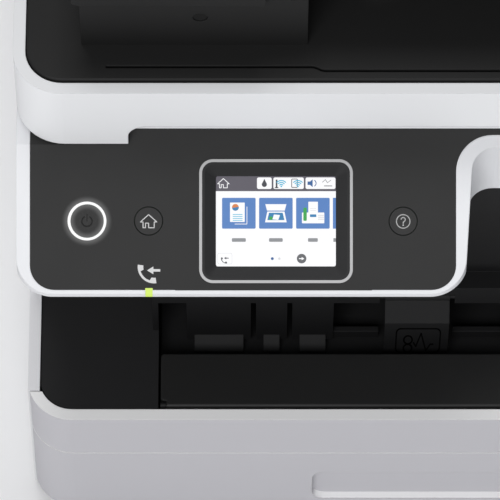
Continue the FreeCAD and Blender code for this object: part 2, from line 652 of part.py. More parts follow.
def adf_base():
    block = box(FEEDER[0], FEEDER[1], ADF_FRONT, ADF_BACK, LID_TOP, ADF_DECK)
    block = block.cut(box(FEEDER[0] + 12, FEEDER[1] + 1, ADF_FRONT + 4, ADF_BACK - 4, 297, 320))
    wing = box(FEEDER[1], 165, 127, ADF_BACK, LID_TOP, 312)
    cheeks = [box(FEEDER[1] - 1, TRAY_AXIS[0] + 6, y, y + 4, LID_TOP, TRAY_AXIS[1] + 5)
              for y in (ADF_FRONT, ADF_BACK - 4)]
    knuckles = [box(FEEDER[0], FEEDER[0] + 5, y - 8, y + 8, 300, ADF_DECK) for y in (-60, 108)]
    solid = fuse([block, wing] + cheeks + knuckles)
    solid = solid.cut(rod_y(ADF_FRONT - 1, ADF_BACK + 1, *TRAY_AXIS, TRAY_PIN_R + FIT))
    return solid.cut(rod_y(ADF_FRONT - 1, ADF_BACK + 1, *ADF_ROLLER, ADF_SHAFT_R + FIT))


def adf_cover():
    """Hinged top of the feeder with rounded long edges."""
    x0, x1 = COVER_AXIS[0] - BARREL_R, -86.0
    y0, y1 = ADF_FRONT - 3, ADF_BACK + 3
    shell = box(x0, x1, y0, y1, ADF_DECK + 0.5, ADF_TOP)
    edges = [e for e in shell.Edges if all(abs(v.Z - ADF_TOP) < 0.01 for v in e.Vertexes)]
    shell = shell.makeFillet(9, edges)
    shell = shell.cut(box(x0 + WALL, x1 - WALL, y0 + WALL, y1 - WALL, 310, ADF_TOP - 3))
    shell = shell.cut(box(x0 - 1, x0 + WALL + SEAM, y0 - 1, y1 + 1, 317, COVER_AXIS[1]))
    barrel = rod_y(y0, y1, *COVER_AXIS, BARREL_R)
    return fuse([shell, barrel])


def tilted(shape):
    """Turns an input tray piece about the tray's hinge so that the tray rises to the right."""
    moved = shape.copy()
    moved.rotate(V(TRAY_AXIS[0], 0, TRAY_AXIS[1]), V(0, 1, 0), -TRAY_SLOPE)
    return moved


def adf_input_tray():
    x, z = TRAY_AXIS
    y0, y1 = ADF_FRONT + 4.4, ADF_BACK - 4.4
    plate = slab(x - 1, x + 236, y0, y1, z, z + 3, 5).fuse(box(x, x + 40, y0, y1, z, z + 3))
    rim = box(x + 4, x + 226, y1 - 3, y1, z, z + 6)
    slot = box(x + SLOT_X[0], x + SLOT_X[1], -70, 40, z - 1, z + 4)
    barrel = rod_y(y0, y1, x, z, 2.9)
    pin = rod_y(ADF_FRONT + 0.4, ADF_BACK - 0.4, x, z, TRAY_PIN_R)
    return tilted(fuse([plate, rim, barrel]).cut(slot).fuse(pin))


def adf_edge_guide():
    x, z = TRAY_AXIS
    low = z + PLATE + 0.2
    left = x + SLOT_X[0] + SEAM
    right = x + SLOT_X[1] - SEAM
    foot = box(x + 22, x + 60, FENCE_Y + 2, FENCE_Y + 16, low, z + 5)
    fence = box(x + 14, x + 72, FENCE_Y, FENCE_Y + 2, low, z + 14)
    tongue = box(left, right, FENCE_Y + 18.4, FENCE_Y + 24, z - 0.5, z + 5)
    bridge = box(left, right, FENCE_Y + 14, FENCE_Y + 24, low, z + 5)
    return tilted(fuse([foot, fence, bridge, tongue]))


def adf_feed_roller():
    shaft = rod_y(ADF_FRONT + 0.5, ADF_BACK - 0.5, *ADF_ROLLER, ADF_SHAFT_R)
    tyres = [rod_y(y, y + 18, *ADF_ROLLER, 6.5) for y in (-20, 15, 50)]
    return fuse([shaft] + tyres)


# ---- Print engine ----
def carriage_rail():
    """Pressed steel frame: back plate with two flanges, side plates and pinch roller arms."""
    shelf = RAIL_Y - 14
    plate = box(RAIL_LEFT, RAIL_RIGHT, RAIL_Y, RAIL_Y + SHEET, RAIL_LOW, RAIL_HIGH)
    low = box(RAIL_LEFT, RAIL_RIGHT, shelf, RAIL_Y, RAIL_LOW, RAIL_LOW + SHEET)
    lip = box(RAIL_LEFT, RAIL_RIGHT, shelf, shelf + SHEET, RAIL_LOW + SHEET, RAIL_LOW + 9)
    high = box(RAIL_LEFT, RAIL_RIGHT, RAIL_Y - 10, RAIL_Y, RAIL_HIGH - SHEET, RAIL_HIGH)
    sides = [box(x, x + SHEET, EXIT_Y - 10, RAIL_Y + 14, FLOOR_TOP, RAIL_HIGH)
             for x in (RAIL_LEFT, RAIL_RIGHT - SHEET)]
    frame = [plate, low, lip, high] + sides
    for x in PINCH_X:
        frame.append(box(x - 10, x - 8, FEED_Y - 3, RAIL_Y, PINCH_Z - 3, PINCH_Z + 3))
    frame.append(box(-130, 90, shelf, shelf + SHEET, PINCH_Z - 3, RAIL_LOW + 1))
    solid = fuse(frame)
    shafts = ((FEED_Y, ROLLER_Z, FEED_SHAFT_R), (EXIT_Y, ROLLER_Z, EXIT_SHAFT_R),
              (PINION_Y, PINION_Z, PINION_SHAFT_R))
    for y, z, r in shafts:
        solid = solid.cut(rod_x(RAIL_LEFT - SHEET, RAIL_LEFT + 2 * SHEET, y, z, r + FIT))
    solid = solid.cut(rod_x(-150, 100, FEED_Y, PINCH_Z, PINCH_SHAFT_R + FIT))
    solid = solid.cut(rod_y(RAIL_Y - 1, RAIL_Y + 3, MOTOR_X, BELT_Z, 6))
    return solid.fuse(rod_y(BELT_FRONT, RAIL_Y + 1, IDLER_X, BELT_Z, PULLEY_R)).removeSplitter()


MOTOR_X = -148.0
IDLER_X = 159.0
BELT_Z = 157.0
BELT_FRONT = 79.0
PULLEY_R = 5.3
RAIL_LEFT = -170.0
RAIL_RIGHT = 174.0
RAIL_LOW = 136.0
RAIL_HIGH = 192.0
SHEET = 2.0
FEED_SHAFT_R = 4.0
FEED_R = 6.5
EXIT_SHAFT_R = 3.0
PINION_SHAFT_R = 2.5
PINCH_SHAFT_R = 1.5
PINCH_R = 4.0
ROLLER_HALF = 7.0
SHAFT_RIGHT = 96.0
GEAR_X = (-179.0, -173.0)
PINION_X = (-178.5, -173.5)
MOTOR_R = 16.0
PINCH_X = [-110, -70, -30, 10, 50, 90]
PINCH_Z = ROLLER_Z + FEED_R + PINCH_R + SEAM
CENTRE_DIST = MODULE * (GEAR_TEETH + PINION_TEETH) / 2
TOOTH_ROOT = 1.7
TOOTH_TIP = 0.8
PINION_Y = (FEED_Y + EXIT_Y) / 2
PINION_Z = ROLLER_Z - math.sqrt(CENTRE_DIST ** 2 - ((FEED_Y - EXIT_Y) / 2) ** 2)


def gear(teeth, y, z, gap_angle, x0, x1):
    """Spur gear with slim trapezoid teeth; a tooth gap points along gap_angle."""
    pitch_r = MODULE * teeth / 2
    root_r = pitch_r - 1.25 * MODULE
    tip_r = pitch_r + 0.75 * MODULE
    step = 360.0 / teeth
    wheel = rod_x(x0, x1, y, z, root_r)
    solids = [wheel]
    for i in range(teeth):
        angle = math.radians(gap_angle + step * (i + 0.5))
        along = (math.cos(angle), math.sin(angle))
        across = (-along[1], along[0])
        corners = [(root_r - 0.2 * MODULE, TOOTH_ROOT), (tip_r, TOOTH_TIP), (tip_r, -TOOTH_TIP),
                   (root_r - 0.2 * MODULE, -TOOTH_ROOT)]
        solids.append(prism_yz([(y + a * along[0] + b * across[0], z + a * along[1] + b * across[1])
                                for a, b in corners], x0, x1))
    return fuse(solids)


def mesh_angle(y):
    """Direction from a roller gear towards the motor pinion, in degrees from +Y towards +Z."""
    return math.degrees(math.atan2(PINION_Z - ROLLER_Z, PINION_Y - y))


def pinion_tooth_offset(y):
    """Degrees from the line to a gear to the nearest pinion tooth, with one tooth set on the feed gear."""
    step = 360.0 / PINION_TEETH
    feed = mesh_angle(FEED_Y) + 180
    line = mesh_angle(y) + 180
    turn = (feed - line) % step
    return turn if turn < step / 2 else turn - step


def roller_gear(y):
    offset = pinion_tooth_offset(y) * PINION_TEETH / GEAR_TEETH
    return gear(GEAR_TEETH, y, ROLLER_Z, mesh_angle(y) - offset, *GEAR_X)


def feed_roller():
    shaft = rod_x(RAIL_LEFT - 1, SHAFT_RIGHT, FEED_Y, ROLLER_Z, FEED_SHAFT_R)
    sleeve = rod_x(-140, SHAFT_RIGHT - 2, FEED_Y, ROLLER_Z, FEED_R)
    hub = rod_x(GEAR_X[0], RAIL_LEFT - 0.5, FEED_Y, ROLLER_Z, FEED_SHAFT_R - 0.2)
    return fuse([shaft, sleeve, hub, roller_gear(FEED_Y)])


def exit_roller():
    shaft = rod_x(GEAR_X[0], SHAFT_RIGHT, EXIT_Y, ROLLER_Z, EXIT_SHAFT_R)
    tyres = [rod_x(x - ROLLER_HALF, x + ROLLER_HALF, EXIT_Y, ROLLER_Z, 7) for x in PINCH_X]
    return fuse([shaft, roller_gear(EXIT_Y)] + tyres)


def motor_pinion():
    offset = 180.0 / PINION_TEETH
    wheel = gear(PINION_TEETH, PINION_Y, PINION_Z, mesh_angle(FEED_Y) + 180 + offset, *PINION_X)
    shaft = rod_x(-180, RAIL_LEFT + 4, PINION_Y, PINION_Z, PINION_SHAFT_R)
    return fuse([wheel, shaft])


def pinch_rollers():
    shaft = rod_x(-124, SHAFT_RIGHT - 2, FEED_Y, PINCH_Z, PINCH_SHAFT_R)
    tyres = [rod_x(x - ROLLER_HALF, x + ROLLER_HALF, FEED_Y, PINCH_Z, PINCH_R) for x in PINCH_X]
    return fuse([shaft] + tyres)


def feed_motor():
    face = RAIL_LEFT + 7
    can = rod_x(face, face + 23, PINION_Y, PINION_Z, MOTOR_R)
    collar = rod_x(RAIL_LEFT + SHEET, face, PINION_Y, PINION_Z, 6)
    bore = rod_x(RAIL_LEFT + 1, face - 0.5, PINION_Y, PINION_Z, PINION_SHAFT_R + 0.1)
    return fuse([can, collar]).cut(bore)


PLATEN = (-30.0, 38.0, 104.0)


def platen():
    front, back, top = PLATEN
    plate = box(-131, 92, front, back, top - 4, top)
    ribs = [box(x, x + 1.5, front, back, top, top + 7.5) for x in range(-125, 92, 18)]
    legs = [box(-136, -131, front, back, DECK_TOP - 2, top),
            box(91.5, 95, front, back, MID_DECK + PLATE, top)]
    return fuse([plate] + ribs + legs)


CARRIAGE = (102.0, 162.0, -14.0, 38.0, 114.0, 176.0)
CARRIAGE_BACK = 72.0
BELT_HALF = 7.0
BELT_T = 1.5
BELT_W = 5.0


def print_carriage():
    """Carriage at its parking place on the right: head block, hook over the rail, and damper lid."""
    x0, x1, front, back_y, low, top = CARRIAGE
    head = box(x0, x1, front, back_y, low, top)
    head = head.cut(box(x0 + 5, x1 - 5, front + 5, back_y - 4, low + 36, top + 4))
    lid = box(x0 + 1, x1 - 1, front + 1, back_y - 1, top, top + 4)
    back = box(x0, x1, back_y, CARRIAGE_BACK, low + 14, top)
    shoe = box(x0 + 2, x1 - 2, CARRIAGE_BACK, RAIL_Y - 8, RAIL_LOW + 9.3, RAIL_LOW + 12)
    hook = box(x0 + 2, x1 - 2, RAIL_Y - 11.5, RAIL_Y - 9, RAIL_LOW + 3, RAIL_LOW + 10)
    clamp = box(x0 + 18, x1 - 18, CARRIAGE_BACK, BELT_FRONT - SEAM, BELT_Z - 5, BELT_Z + 5)
    return fuse([head, lid, back, shoe, hook, clamp])


def drive_belt():
    """Flat loop between the motor pulley and the idler."""
    inner = BELT_HALF - BELT_T
    loop = box(MOTOR_X - BELT_HALF, IDLER_X + BELT_HALF, BELT_FRONT, BELT_FRONT + BELT_W,
               BELT_Z - BELT_HALF, BELT_Z + BELT_HALF)
    return loop.cut(box(MOTOR_X - inner, IDLER_X + inner, BELT_FRONT - 1, BELT_FRONT + BELT_W + 1,
                        BELT_Z - inner, BELT_Z + inner))


def carriage_motor():
    can = rod_y(RAIL_Y + SHEET, RAIL_Y + 34, MOTOR_X, BELT_Z, MOTOR_R + 2)
    return can.fuse(rod_y(BELT_FRONT, RAIL_Y + SHEET, MOTOR_X, BELT_Z, PULLEY_R))


CAP_TUB = (98.0, 168.0, -24.0, 42.0, 62.0, 108.0)
BOARD_Y = 148.0
BOARD_T = 1.6


def capping_station():
    x0, x1, front, back, low, top = CAP_TUB
    inside = low + 4
    lips = CARRIAGE[4] - 1
    tub = box(x0, x1, front, back, low, top).cut(box(x0 + 3, x1 - 3, front + 3, back - 3, inside, top + 2))
    caps = []
    for x in (x0 + 6, x0 + 34):
        cap = box(x, x + 24, front + 14, back - 10, inside, lips)
        caps.append(cap.cut(box(x + 3, x + 21, front + 17, back - 13, lips - 3, lips + 1)))
    wiper = box(x1 - 8, x1 - 6, front + 18, back - 16, inside, lips - 1)
    legs = [box(x, x + 4, front + 4, back - 4, FLOOR_TOP, low) for x in (x0 + 2, x1 - 6)]
    return fuse([tub, wiper] + caps + legs)


def main_board():
    back = BOARD_Y + BOARD_T
    board = box(96, 170, BOARD_Y, back, 64, 150)
    ports = []
    for _, x, width in PORTS:
        half = width / 2
        block = box(x - half, x + half, back, REAR - 0.5, PORT_Z0, PORT_Z1)
        mouth = box(x - half + 2, x + half - 2, REAR_IN - 1, REAR, PORT_Z0 + 3, PORT_Z1 - 2)
        ports.append(block.cut(mouth))
    chips = [box(x, x + 14, BOARD_Y - WALL, BOARD_Y, z, z + 14)
             for x, z in ((106, 100), (134, 118), (150, 92))]
    return fuse([board] + ports + chips)


def power_supply():
    x0, x1, z0, z1 = INLET_SLOT
    can = box(-166, -138, 20, 150, 9, 62)
    neck = box(x0 + 0.5, x1 - 0.5, 149, REAR - 0.5, z0 + 0.5, z1 - 0.5)
    socket = slab(x0 + 4, x1 - 4, 0, 9, -12, 0, 4.4)
    socket.rotate(V(0, 0, 0), V(1, 0, 0), -90)
    socket.translate(V(0, REAR, (z0 + z1) / 2 + 4.5))
    pins = [rod_y(REAR - 14, REAR - 3, x, (z0 + z1) / 2, 1.2) for x in (-156, -148)]
    feet = [box(-164, -140, y, y + 8, FLOOR_TOP, 9) for y in (30, 130)]
    return fuse([fuse([can, neck] + feet).cut(socket)] + pins)


# ---- Ink tanks ----
WINDOW = (104.0, 164.0, 22.0, 126.0)
SQUARE_Y = -145.0
TANK_PIN_R = 1.5


def ink_tank_housing():
    outer = slab(TANK_LEFT, HALF_W, FASCIA_FRONT, TANK_BACK, FOOT_H, TANK_TOP, FASCIA_R)
    square = [box(TANK_LEFT, SQUARE_X, FASCIA_FRONT, TANK_BACK, FOOT_H, TANK_TOP),
              box(TANK_LEFT, HALF_W, SQUARE_Y, TANK_BACK, FOOT_H, TANK_TOP)]
    outer = fuse([outer] + square)
    left, right = TANK_LEFT + WALL, HALF_W - WALL
    front, back = FASCIA_FRONT + WALL, TANK_BACK - WALL
    low, high = FOOT_H + WALL, TANK_TOP + 1
    inner = slab(left, right, front, back, low, high, FASCIA_R - WALL)
    inner = fuse([inner, box(left, SQUARE_X, front, back, low, high),
                  box(left, right, SQUARE_Y, back, low, high)])
    housing = outer.cut(inner)
    x0, x1, z0, z1 = WINDOW
    housing = housing.cut(box(x0, x1, FASCIA_FRONT - 1, FASCIA_FRONT + 5, z0, z1))
    spine = box(TANK_LEFT + 6, HALF_W - 6, TANK_BACK - WALL, TANK_BACK, TANK_TOP - 1, TANK_AXIS_Z - 5)
    ears = []
    for x in (TANK_LEFT + 12, HALF_W - 20):
        ear = box(x, x + 8, TANK_AXIS_Y - 3, TANK_BACK, TANK_TOP - 1, TANK_AXIS_Z)
        ears.append(fuse([ear, rod_x(x, x + 8, TANK_AXIS_Y, TANK_AXIS_Z, 3)]))
    solid = fuse([housing, spine] + ears)
    return solid.cut(rod_x(TANK_LEFT + 11, HALF_W - 11, TANK_AXIS_Y, TANK_AXIS_Z, TANK_PIN_R + FIT))


def ink_window():
    x0, x1, z0, z1 = WINDOW
    return box(x0 + 0.1, x1 - 0.1, FASCIA_FRONT + 0.4, FASCIA_FRONT + 2.4, z0 + 0.1, z1 - 0.1)


TANK_X = [98.0, 117.0, 136.0, 155.0]
TANK_W = 17.5
TANK_FRONT = -167.0
TANK_REAR = -129.0
TANK_LOW = 8.0
TANK_HIGH = 126.0
TANK_WALL = 1.5
NECK_Y = -149.0
NECK_R = 6.0
CAP_AXIS_Y = -132.5
CAP_AXIS_Z = 132.0
CAP_PIN_R = 1.0
CAP_LUG_W = 2.6


def ink_tanks():
    """Four joined ink tanks with filler necks; they show through the window."""
    tanks = []
    for x in TANK_X:
        body = box(x, x + TANK_W, TANK_FRONT, TANK_REAR, TANK_LOW, TANK_HIGH)
        body = body.cut(box(x + TANK_WALL, x + TANK_W - TANK_WALL, TANK_FRONT + TANK_WALL,
                            TANK_REAR - TANK_WALL, TANK_LOW + TANK_WALL, TANK_HIGH - TANK_WALL))
        neck = rod_z(TANK_HIGH - TANK_WALL, TANK_HIGH + 3, x + TANK_W / 2, NECK_Y, NECK_R)
        bore = rod_z(TANK_HIGH - 6, TANK_HIGH + 4, x + TANK_W / 2, NECK_Y, NECK_R - 2)
        tanks.append(fuse([body, neck]).cut(bore))
    front, back = CAP_AXIS_Y - 1.5, CAP_AXIS_Y + 1.5
    bars = [box(TANK_X[0], TANK_X[-1] + TANK_W, front, back, z, z + 3) for z in (TANK_HIGH - 3, TANK_LOW)]
    posts = [box(x + 4, x + TANK_W - 4, front, back, TANK_HIGH, CAP_AXIS_Z + 1.4) for x in TANK_X]
    solid = fuse(tanks + bars + posts)
    return solid.cut(rod_x(TANK_X[0] - 1, TANK_X[-1] + TANK_W + 1, CAP_AXIS_Y, CAP_AXIS_Z, CAP_PIN_R + FIT))


def tank_caps():
    """Four flip-up caps on one hinge line behind the filler necks."""
    top = CAP_AXIS_Z + 0.6
    caps = [box(x + 1, x + TANK_W - 1, NECK_Y - 7, CAP_AXIS_Y - 2.8, TANK_HIGH + 3.4, top) for x in TANK_X]
    lugs = []
    for x in TANK_X:
        for x0 in (x + 1, x + TANK_W - 1 - CAP_LUG_W):
            lug = box(x0, x0 + CAP_LUG_W, CAP_AXIS_Y - 4, CAP_AXIS_Y, top - 2, top)
            lugs.append(lug.fuse(rod_x(x0, x0 + CAP_LUG_W, CAP_AXIS_Y, CAP_AXIS_Z, CAP_PIN_R + 0.4)))
    pin = rod_x(TANK_X[0] + 1, TANK_X[-1] + TANK_W - 1, CAP_AXIS_Y, CAP_AXIS_Z, CAP_PIN_R)
    return fuse(caps + lugs + [pin])


def ink_tank_cover():
    z0 = TANK_TOP + 0.4
    back = TANK_AXIS_Y - 3.4
    outer = slab(TANK_LEFT, HALF_W, FASCIA_FRONT, TANK_BACK + 8, z0, TANK_LID_TOP, FASCIA_R)
    outer = fuse([outer, box(TANK_LEFT, SQUARE_X, FASCIA_FRONT, back, z0, TANK_LID_TOP)])
    outer = outer.common(box(0, REACH, -REACH, back, 0, REACH))
    left, front, end = TANK_LEFT + WALL, FASCIA_FRONT + WALL, TANK_BACK + 13
    low, high = z0 - 1, TANK_LID_TOP - WALL
    inner = slab(left, HALF_W - WALL, front, end, low, high, FASCIA_R - WALL)
    inner = fuse([inner, box(left, SQUARE_X, front, end, low, high)])
    parts = [outer.cut(inner)]
    for x in (TANK_LEFT + 8, TANK_LEFT + 20.4, HALF_W - 23.9, HALF_W - 11.6):
        arm = box(x, x + 3.5, back - 4, TANK_AXIS_Y, TANK_AXIS_Z - 2, TANK_LID_TOP)
        parts.append(arm.fuse(rod_x(x, x + 3.5, TANK_AXIS_Y, TANK_AXIS_Z, 2.8)))
    parts += [rod_x(TANK_LEFT + 8, TANK_LEFT + 23, TANK_AXIS_Y, TANK_AXIS_Z, TANK_PIN_R),
              rod_x(HALF_W - 23, HALF_W - 8.5, TANK_AXIS_Y, TANK_AXIS_Z, TANK_PIN_R)]
    return fuse(parts)


# ---- Paper cassette and output tray ----
CAS_X0 = -130.8
CAS_X1 = 90.8
CAS_FRONT = FASCIA_FRONT + FASCIA_WALL
CAS_BACK = 135.0
CAS_LOW = 7.0
CAS_TOP = 50.0
CAS_WALL = 1.8
CAS_FLOOR = 9.0
GUIDE_LOW = 9.3
GUIDE_FOOT = 10.8
SHEET_HALF = 108.0


def fascia(z0, z1):
    """Part of the light front panel with its left corner wrapped round."""
    outer = slab(-HALF_W, REACH, FASCIA_FRONT, -100, z0, z1, FASCIA_R)
    inner = slab(-HALF_W + FASCIA_WALL, REACH - 10, CAS_FRONT, -90, z0 - 1, z1 + 1, FASCIA_R - FASCIA_WALL)
    return outer.cut(inner).common(box(-HALF_W - 1, CAVITY_RIGHT, FRONT, FASCIA_SPLIT - 0.4, 0, 100))


def cassette_front():
    skin = fascia(5, MID_DECK + 3.2)
    grip = slab(PAPER_X - 45, PAPER_X + 45, 14, 40, -3, 0, 6)
    grip.rotate(V(0, 0, 0), V(1, 0, 0), 90)
    grip.translate(V(0, FASCIA_FRONT, 0))
    return skin.cut(grip)


def tray_front():
    return fascia(MID_DECK + 3.8, FASCIA_TOP)


def paper_cassette():
    left, right = CAS_X0 + CAS_WALL, CAS_X1 - CAS_WALL
    shell = box(CAS_X0, CAS_X1, CAS_FRONT, CAS_BACK, CAS_LOW, CAS_TOP)
    shell = shell.cut(box(left, right, CAS_FRONT + PLATE, CAS_BACK - 2, CAS_FLOOR, CAS_TOP + 1))
    shell = shell.cut(box(left, right, CAS_BACK - 3, CAS_BACK + 1, CAS_TOP - 14, CAS_TOP + 1))
    apron = box(CAS_X0, CAS_X1, CAS_FRONT, CAS_FRONT + PLATE, CAS_LOW, CAS_TOP + 4)
    return fuse([shell, apron])


def side_guide(side):
    """Edge guide for the paper stack: a fence on a low foot."""
    inner = PAPER_X + side * SHEET_HALF
    outer = inner + side * 0.9
    fence = box(min(inner, outer), max(inner, outer), -110, 40, GUIDE_LOW, 42)
    toe = inner - side * 26
    foot = box(min(inner, toe), max(inner, toe), -36, -30, GUIDE_LOW, GUIDE_FOOT)
    brace = box(min(inner, inner - side * 10), max(inner, inner - side * 10), -60, -58, GUIDE_LOW, 20)
    return fuse([fence, foot, brace])


def cassette_end_guide():
    fence = box(PAPER_X - 20, PAPER_X + 20, 129.5, 131.5, GUIDE_LOW, 34)
    foot = box(PAPER_X - 9, PAPER_X + 9, 100, 130, GUIDE_LOW, GUIDE_FOOT)
    return fuse([fence, foot])


PICKUP_Y = 100.0
PICKUP_Z = 65.5
PICKUP_PIN_R = 2.0
PICKUP_X = (-46.0, 3.0)


def pickup_arm():
    """Swing arm over the cassette that carries the pick-up roller."""
    hub = rod_x(-60, 10, ARM_Y, ARM_Z, ARM_HUB_R)
    sides = []
    for x in PICKUP_X:
        bar = box(x, x + PLATE, ARM_Y, PICKUP_Y, PICKUP_Z - 4.5, PICKUP_Z + 4.5)
        sides.append(bar.fuse(rod_x(x, x + PLATE, PICKUP_Y, PICKUP_Z, 4.5)))
    return fuse([hub] + sides).cut(rod_x(-50, 10, PICKUP_Y, PICKUP_Z, PICKUP_PIN_R + FIT))


def pickup_roller():
    shaft = rod_x(PICKUP_X[0], PICKUP_X[1] + PLATE, PICKUP_Y, PICKUP_Z, PICKUP_PIN_R)
    tyres = [rod_x(x, x + 14, PICKUP_Y, PICKUP_Z, 12) for x in (-38, -16)]
    return fuse([shaft] + tyres)


TRAY_X0 = -130.6
TRAY_X1 = 90.0
LIP_FRONT = -166.0
LIP_BACK = -140.8
LIP_TOP = 89.0
STOPPER_TOP = 92.0
STOPPER_R = 1.3
STOPPER_Y = LIP_FRONT + STOPPER_R + 0.1
STOPPER_Z = STOPPER_TOP - STOPPER_R
KNUCKLE_W = 2.4
STOPPER_PIN_R = 0.7
TRAY_BACK = 20.0
TRAY_LOW = 77.0
TRAY_FEET = MID_DECK + PLATE + SEAM


def output_tray():
    """Sliding tray with a raised front lip; side skirts run on the inner deck."""
    floor = box(TRAY_X0, TRAY_X1, LIP_FRONT, TRAY_BACK, TRAY_LOW, TRAY_LOW + PLATE)
    lip = box(TRAY_X0, TRAY_X1, LIP_FRONT, LIP_BACK, TRAY_LOW, LIP_TOP)
    skirts = [box(x, x + WALL, LIP_FRONT, TRAY_BACK, TRAY_FEET, TRAY_LOW)
              for x in (TRAY_X0, TRAY_X1 - WALL)]
    front = box(TRAY_X0, TRAY_X1, CAS_FRONT, LIP_FRONT + WALL, TRAY_FEET + 0.6, TRAY_LOW + 1)
    knuckles = []
    for x in (TRAY_X0, TRAY_X1 - KNUCKLE_W):
        foot = box(x, x + KNUCKLE_W, STOPPER_Y - STOPPER_R, STOPPER_Y + STOPPER_R, LIP_TOP - 1, STOPPER_Z)
        knuckles.append(fuse([foot, rod_x(x, x + KNUCKLE_W, STOPPER_Y, STOPPER_Z, STOPPER_R)]))
    tray = fuse([floor, lip, front] + skirts + knuckles)
    return tray.cut(rod_x(TRAY_X0 - 1, TRAY_X1 + 1, STOPPER_Y, STOPPER_Z, STOPPER_PIN_R + FIT))


def paper_stopper():
    """Flap that makes the top of the tray's lip and folds up to stop the sheets."""
    x0 = TRAY_X0 + KNUCKLE_W + 0.2
    x1 = TRAY_X1 - KNUCKLE_W - 0.2
    low = STOPPER_Z - STOPPER_R
    flap = slab(TRAY_X0 + 0.2, TRAY_X1 - 0.2, STOPPER_Y + STOPPER_R + SEAM, LIP_BACK, low, STOPPER_TOP, 1.5)
    neck = box(x0, x1, STOPPER_Y, STOPPER_Y + 5, low, STOPPER_TOP)
    barrel = rod_x(x0, x1, STOPPER_Y, STOPPER_Z, STOPPER_R)
    pin = rod_x(TRAY_X0 + 0.2, TRAY_X1 - 0.2, STOPPER_Y, STOPPER_Z, STOPPER_PIN_R)
    return fuse([flap, neck, barrel, pin])


# ---- Rear pieces ----
def rear_cover():
    x0, x1, z0, z1 = REAR_DOOR
    plate = box(x0 + GAP, x1 - GAP, REAR - 10, REAR, z0 + 1.5, z1 - GAP)
    plate = plate.cut(box(x0 + 4, x1 - 4, REAR - 11, REAR - 2.5, z0 + 12, z1 - 4))
    ribs = [box(x, x + 2, REAR - 9, REAR - 2, z0 + 8, z1 - 8) for x in range(-100, 66, 20)]
    pins = [rod_x(x, x + 8.5, DOOR_AXIS_Y, z0 + DOOR_AXIS_UP, DOOR_PIN_R) for x in (x0 - WALL, x1 - 6)]
    grip = box(-50, 10, REAR - 1.2, REAR + 1, z1 - 22, z1 - 8)
    return fuse([plate] + ribs + pins).cut(grip)


def maintenance_box():
    x0, x1, z0, z1 = BOX_SLOT
    body = box(x0 + GAP, x1 - GAP, BOX_FRONT, REAR - 0.5, z0 + GAP, z1 - GAP)
    body = body.cut(box(x0 + 3, x1 - 3, BOX_FRONT + 3, REAR - 4, z0 + 3, z1 + 1))
    pad = box(x0 + 4, x1 - 4, BOX_FRONT + 4, REAR - 5, z0 + 2.9, z1 - 12)
    grip = box(x0 + 20, x1 - 20, REAR - 3.5, REAR + 1, z0 + 16, z0 + 30)
    return fuse([body, pad]).cut(grip)


NODES = {
    "base_frame": base_frame,
    "left_side_cover": left_side_cover,
    "right_side_cover": right_side_cover,
    "rear_housing": rear_housing,
    "case_screws": case_screws,
    "rubber_feet": rubber_feet,
    "exit_cover": exit_cover,
    "jam_flap": jam_flap,
    "front_housing": front_housing,
    "panel_face": panel_face,
    "panel_underside": panel_underside,
    "screen_ring": screen_ring,
    "screen_bezel": screen_bezel,
    "touch_screen": touch_screen,
    "panel_board": panel_board,
    "power_ring_light": power_ring_light,
    "fax_light": fax_light,
    "power_button": lambda: key(POWER, POWER_R),
    "home_button": lambda: key(HOME, KEY_R),
    "help_button": lambda: key(HELP, KEY_R),
    "scanner_base": scanner_base,
    "scanner_glass": scanner_glass,
    "scan_carriage": scan_carriage,
    "document_cover": document_cover,
    "cover_pad": cover_pad,
    "adf_base": adf_base,
    "adf_cover": adf_cover,
    "adf_input_tray": adf_input_tray,
    "adf_edge_guide": adf_edge_guide,
    "adf_feed_roller": adf_feed_roller,
    "carriage_rail": carriage_rail,
    "drive_belt": drive_belt,
    "carriage_motor": carriage_motor,
    "print_carriage": print_carriage,
    "platen": platen,
    "feed_roller": feed_roller,
    "exit_roller": exit_roller,
    "motor_pinion": motor_pinion,
    "pinch_rollers": pinch_rollers,
    "feed_motor": feed_motor,
    "capping_station": capping_station,
    "main_board": main_board,
    "power_supply": power_supply,
    "ink_tank_housing": ink_tank_housing,
    "ink_window": ink_window,
    "ink_tanks": ink_tanks,
    "tank_caps": tank_caps,
    "ink_tank_cover": ink_tank_cover,
    "cassette_front": cassette_front,
    "tray_front": tray_front,
    "paper_cassette": paper_cassette,
    "cassette_left_guide": lambda: side_guide(-1),
    "cassette_right_guide": lambda: side_guide(1),
    "cassette_end_guide": cassette_end_guide,
    "pickup_arm": pickup_arm,
    "pickup_roller": pickup_roller,
    "output_tray": output_tray,
    "paper_stopper": paper_stopper,
    "rear_cover": rear_cover,
    "maintenance_box": maintenance_box,
}

os.makedirs("parts", exist_ok=True)
for name, make in NODES.items():
    shape = make()
    if not shape.isValid() or not shape.Solids:
        raise ValueError("bad solid: " + name)
    shape.exportStep("parts/" + name + ".step")
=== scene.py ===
import json
import math

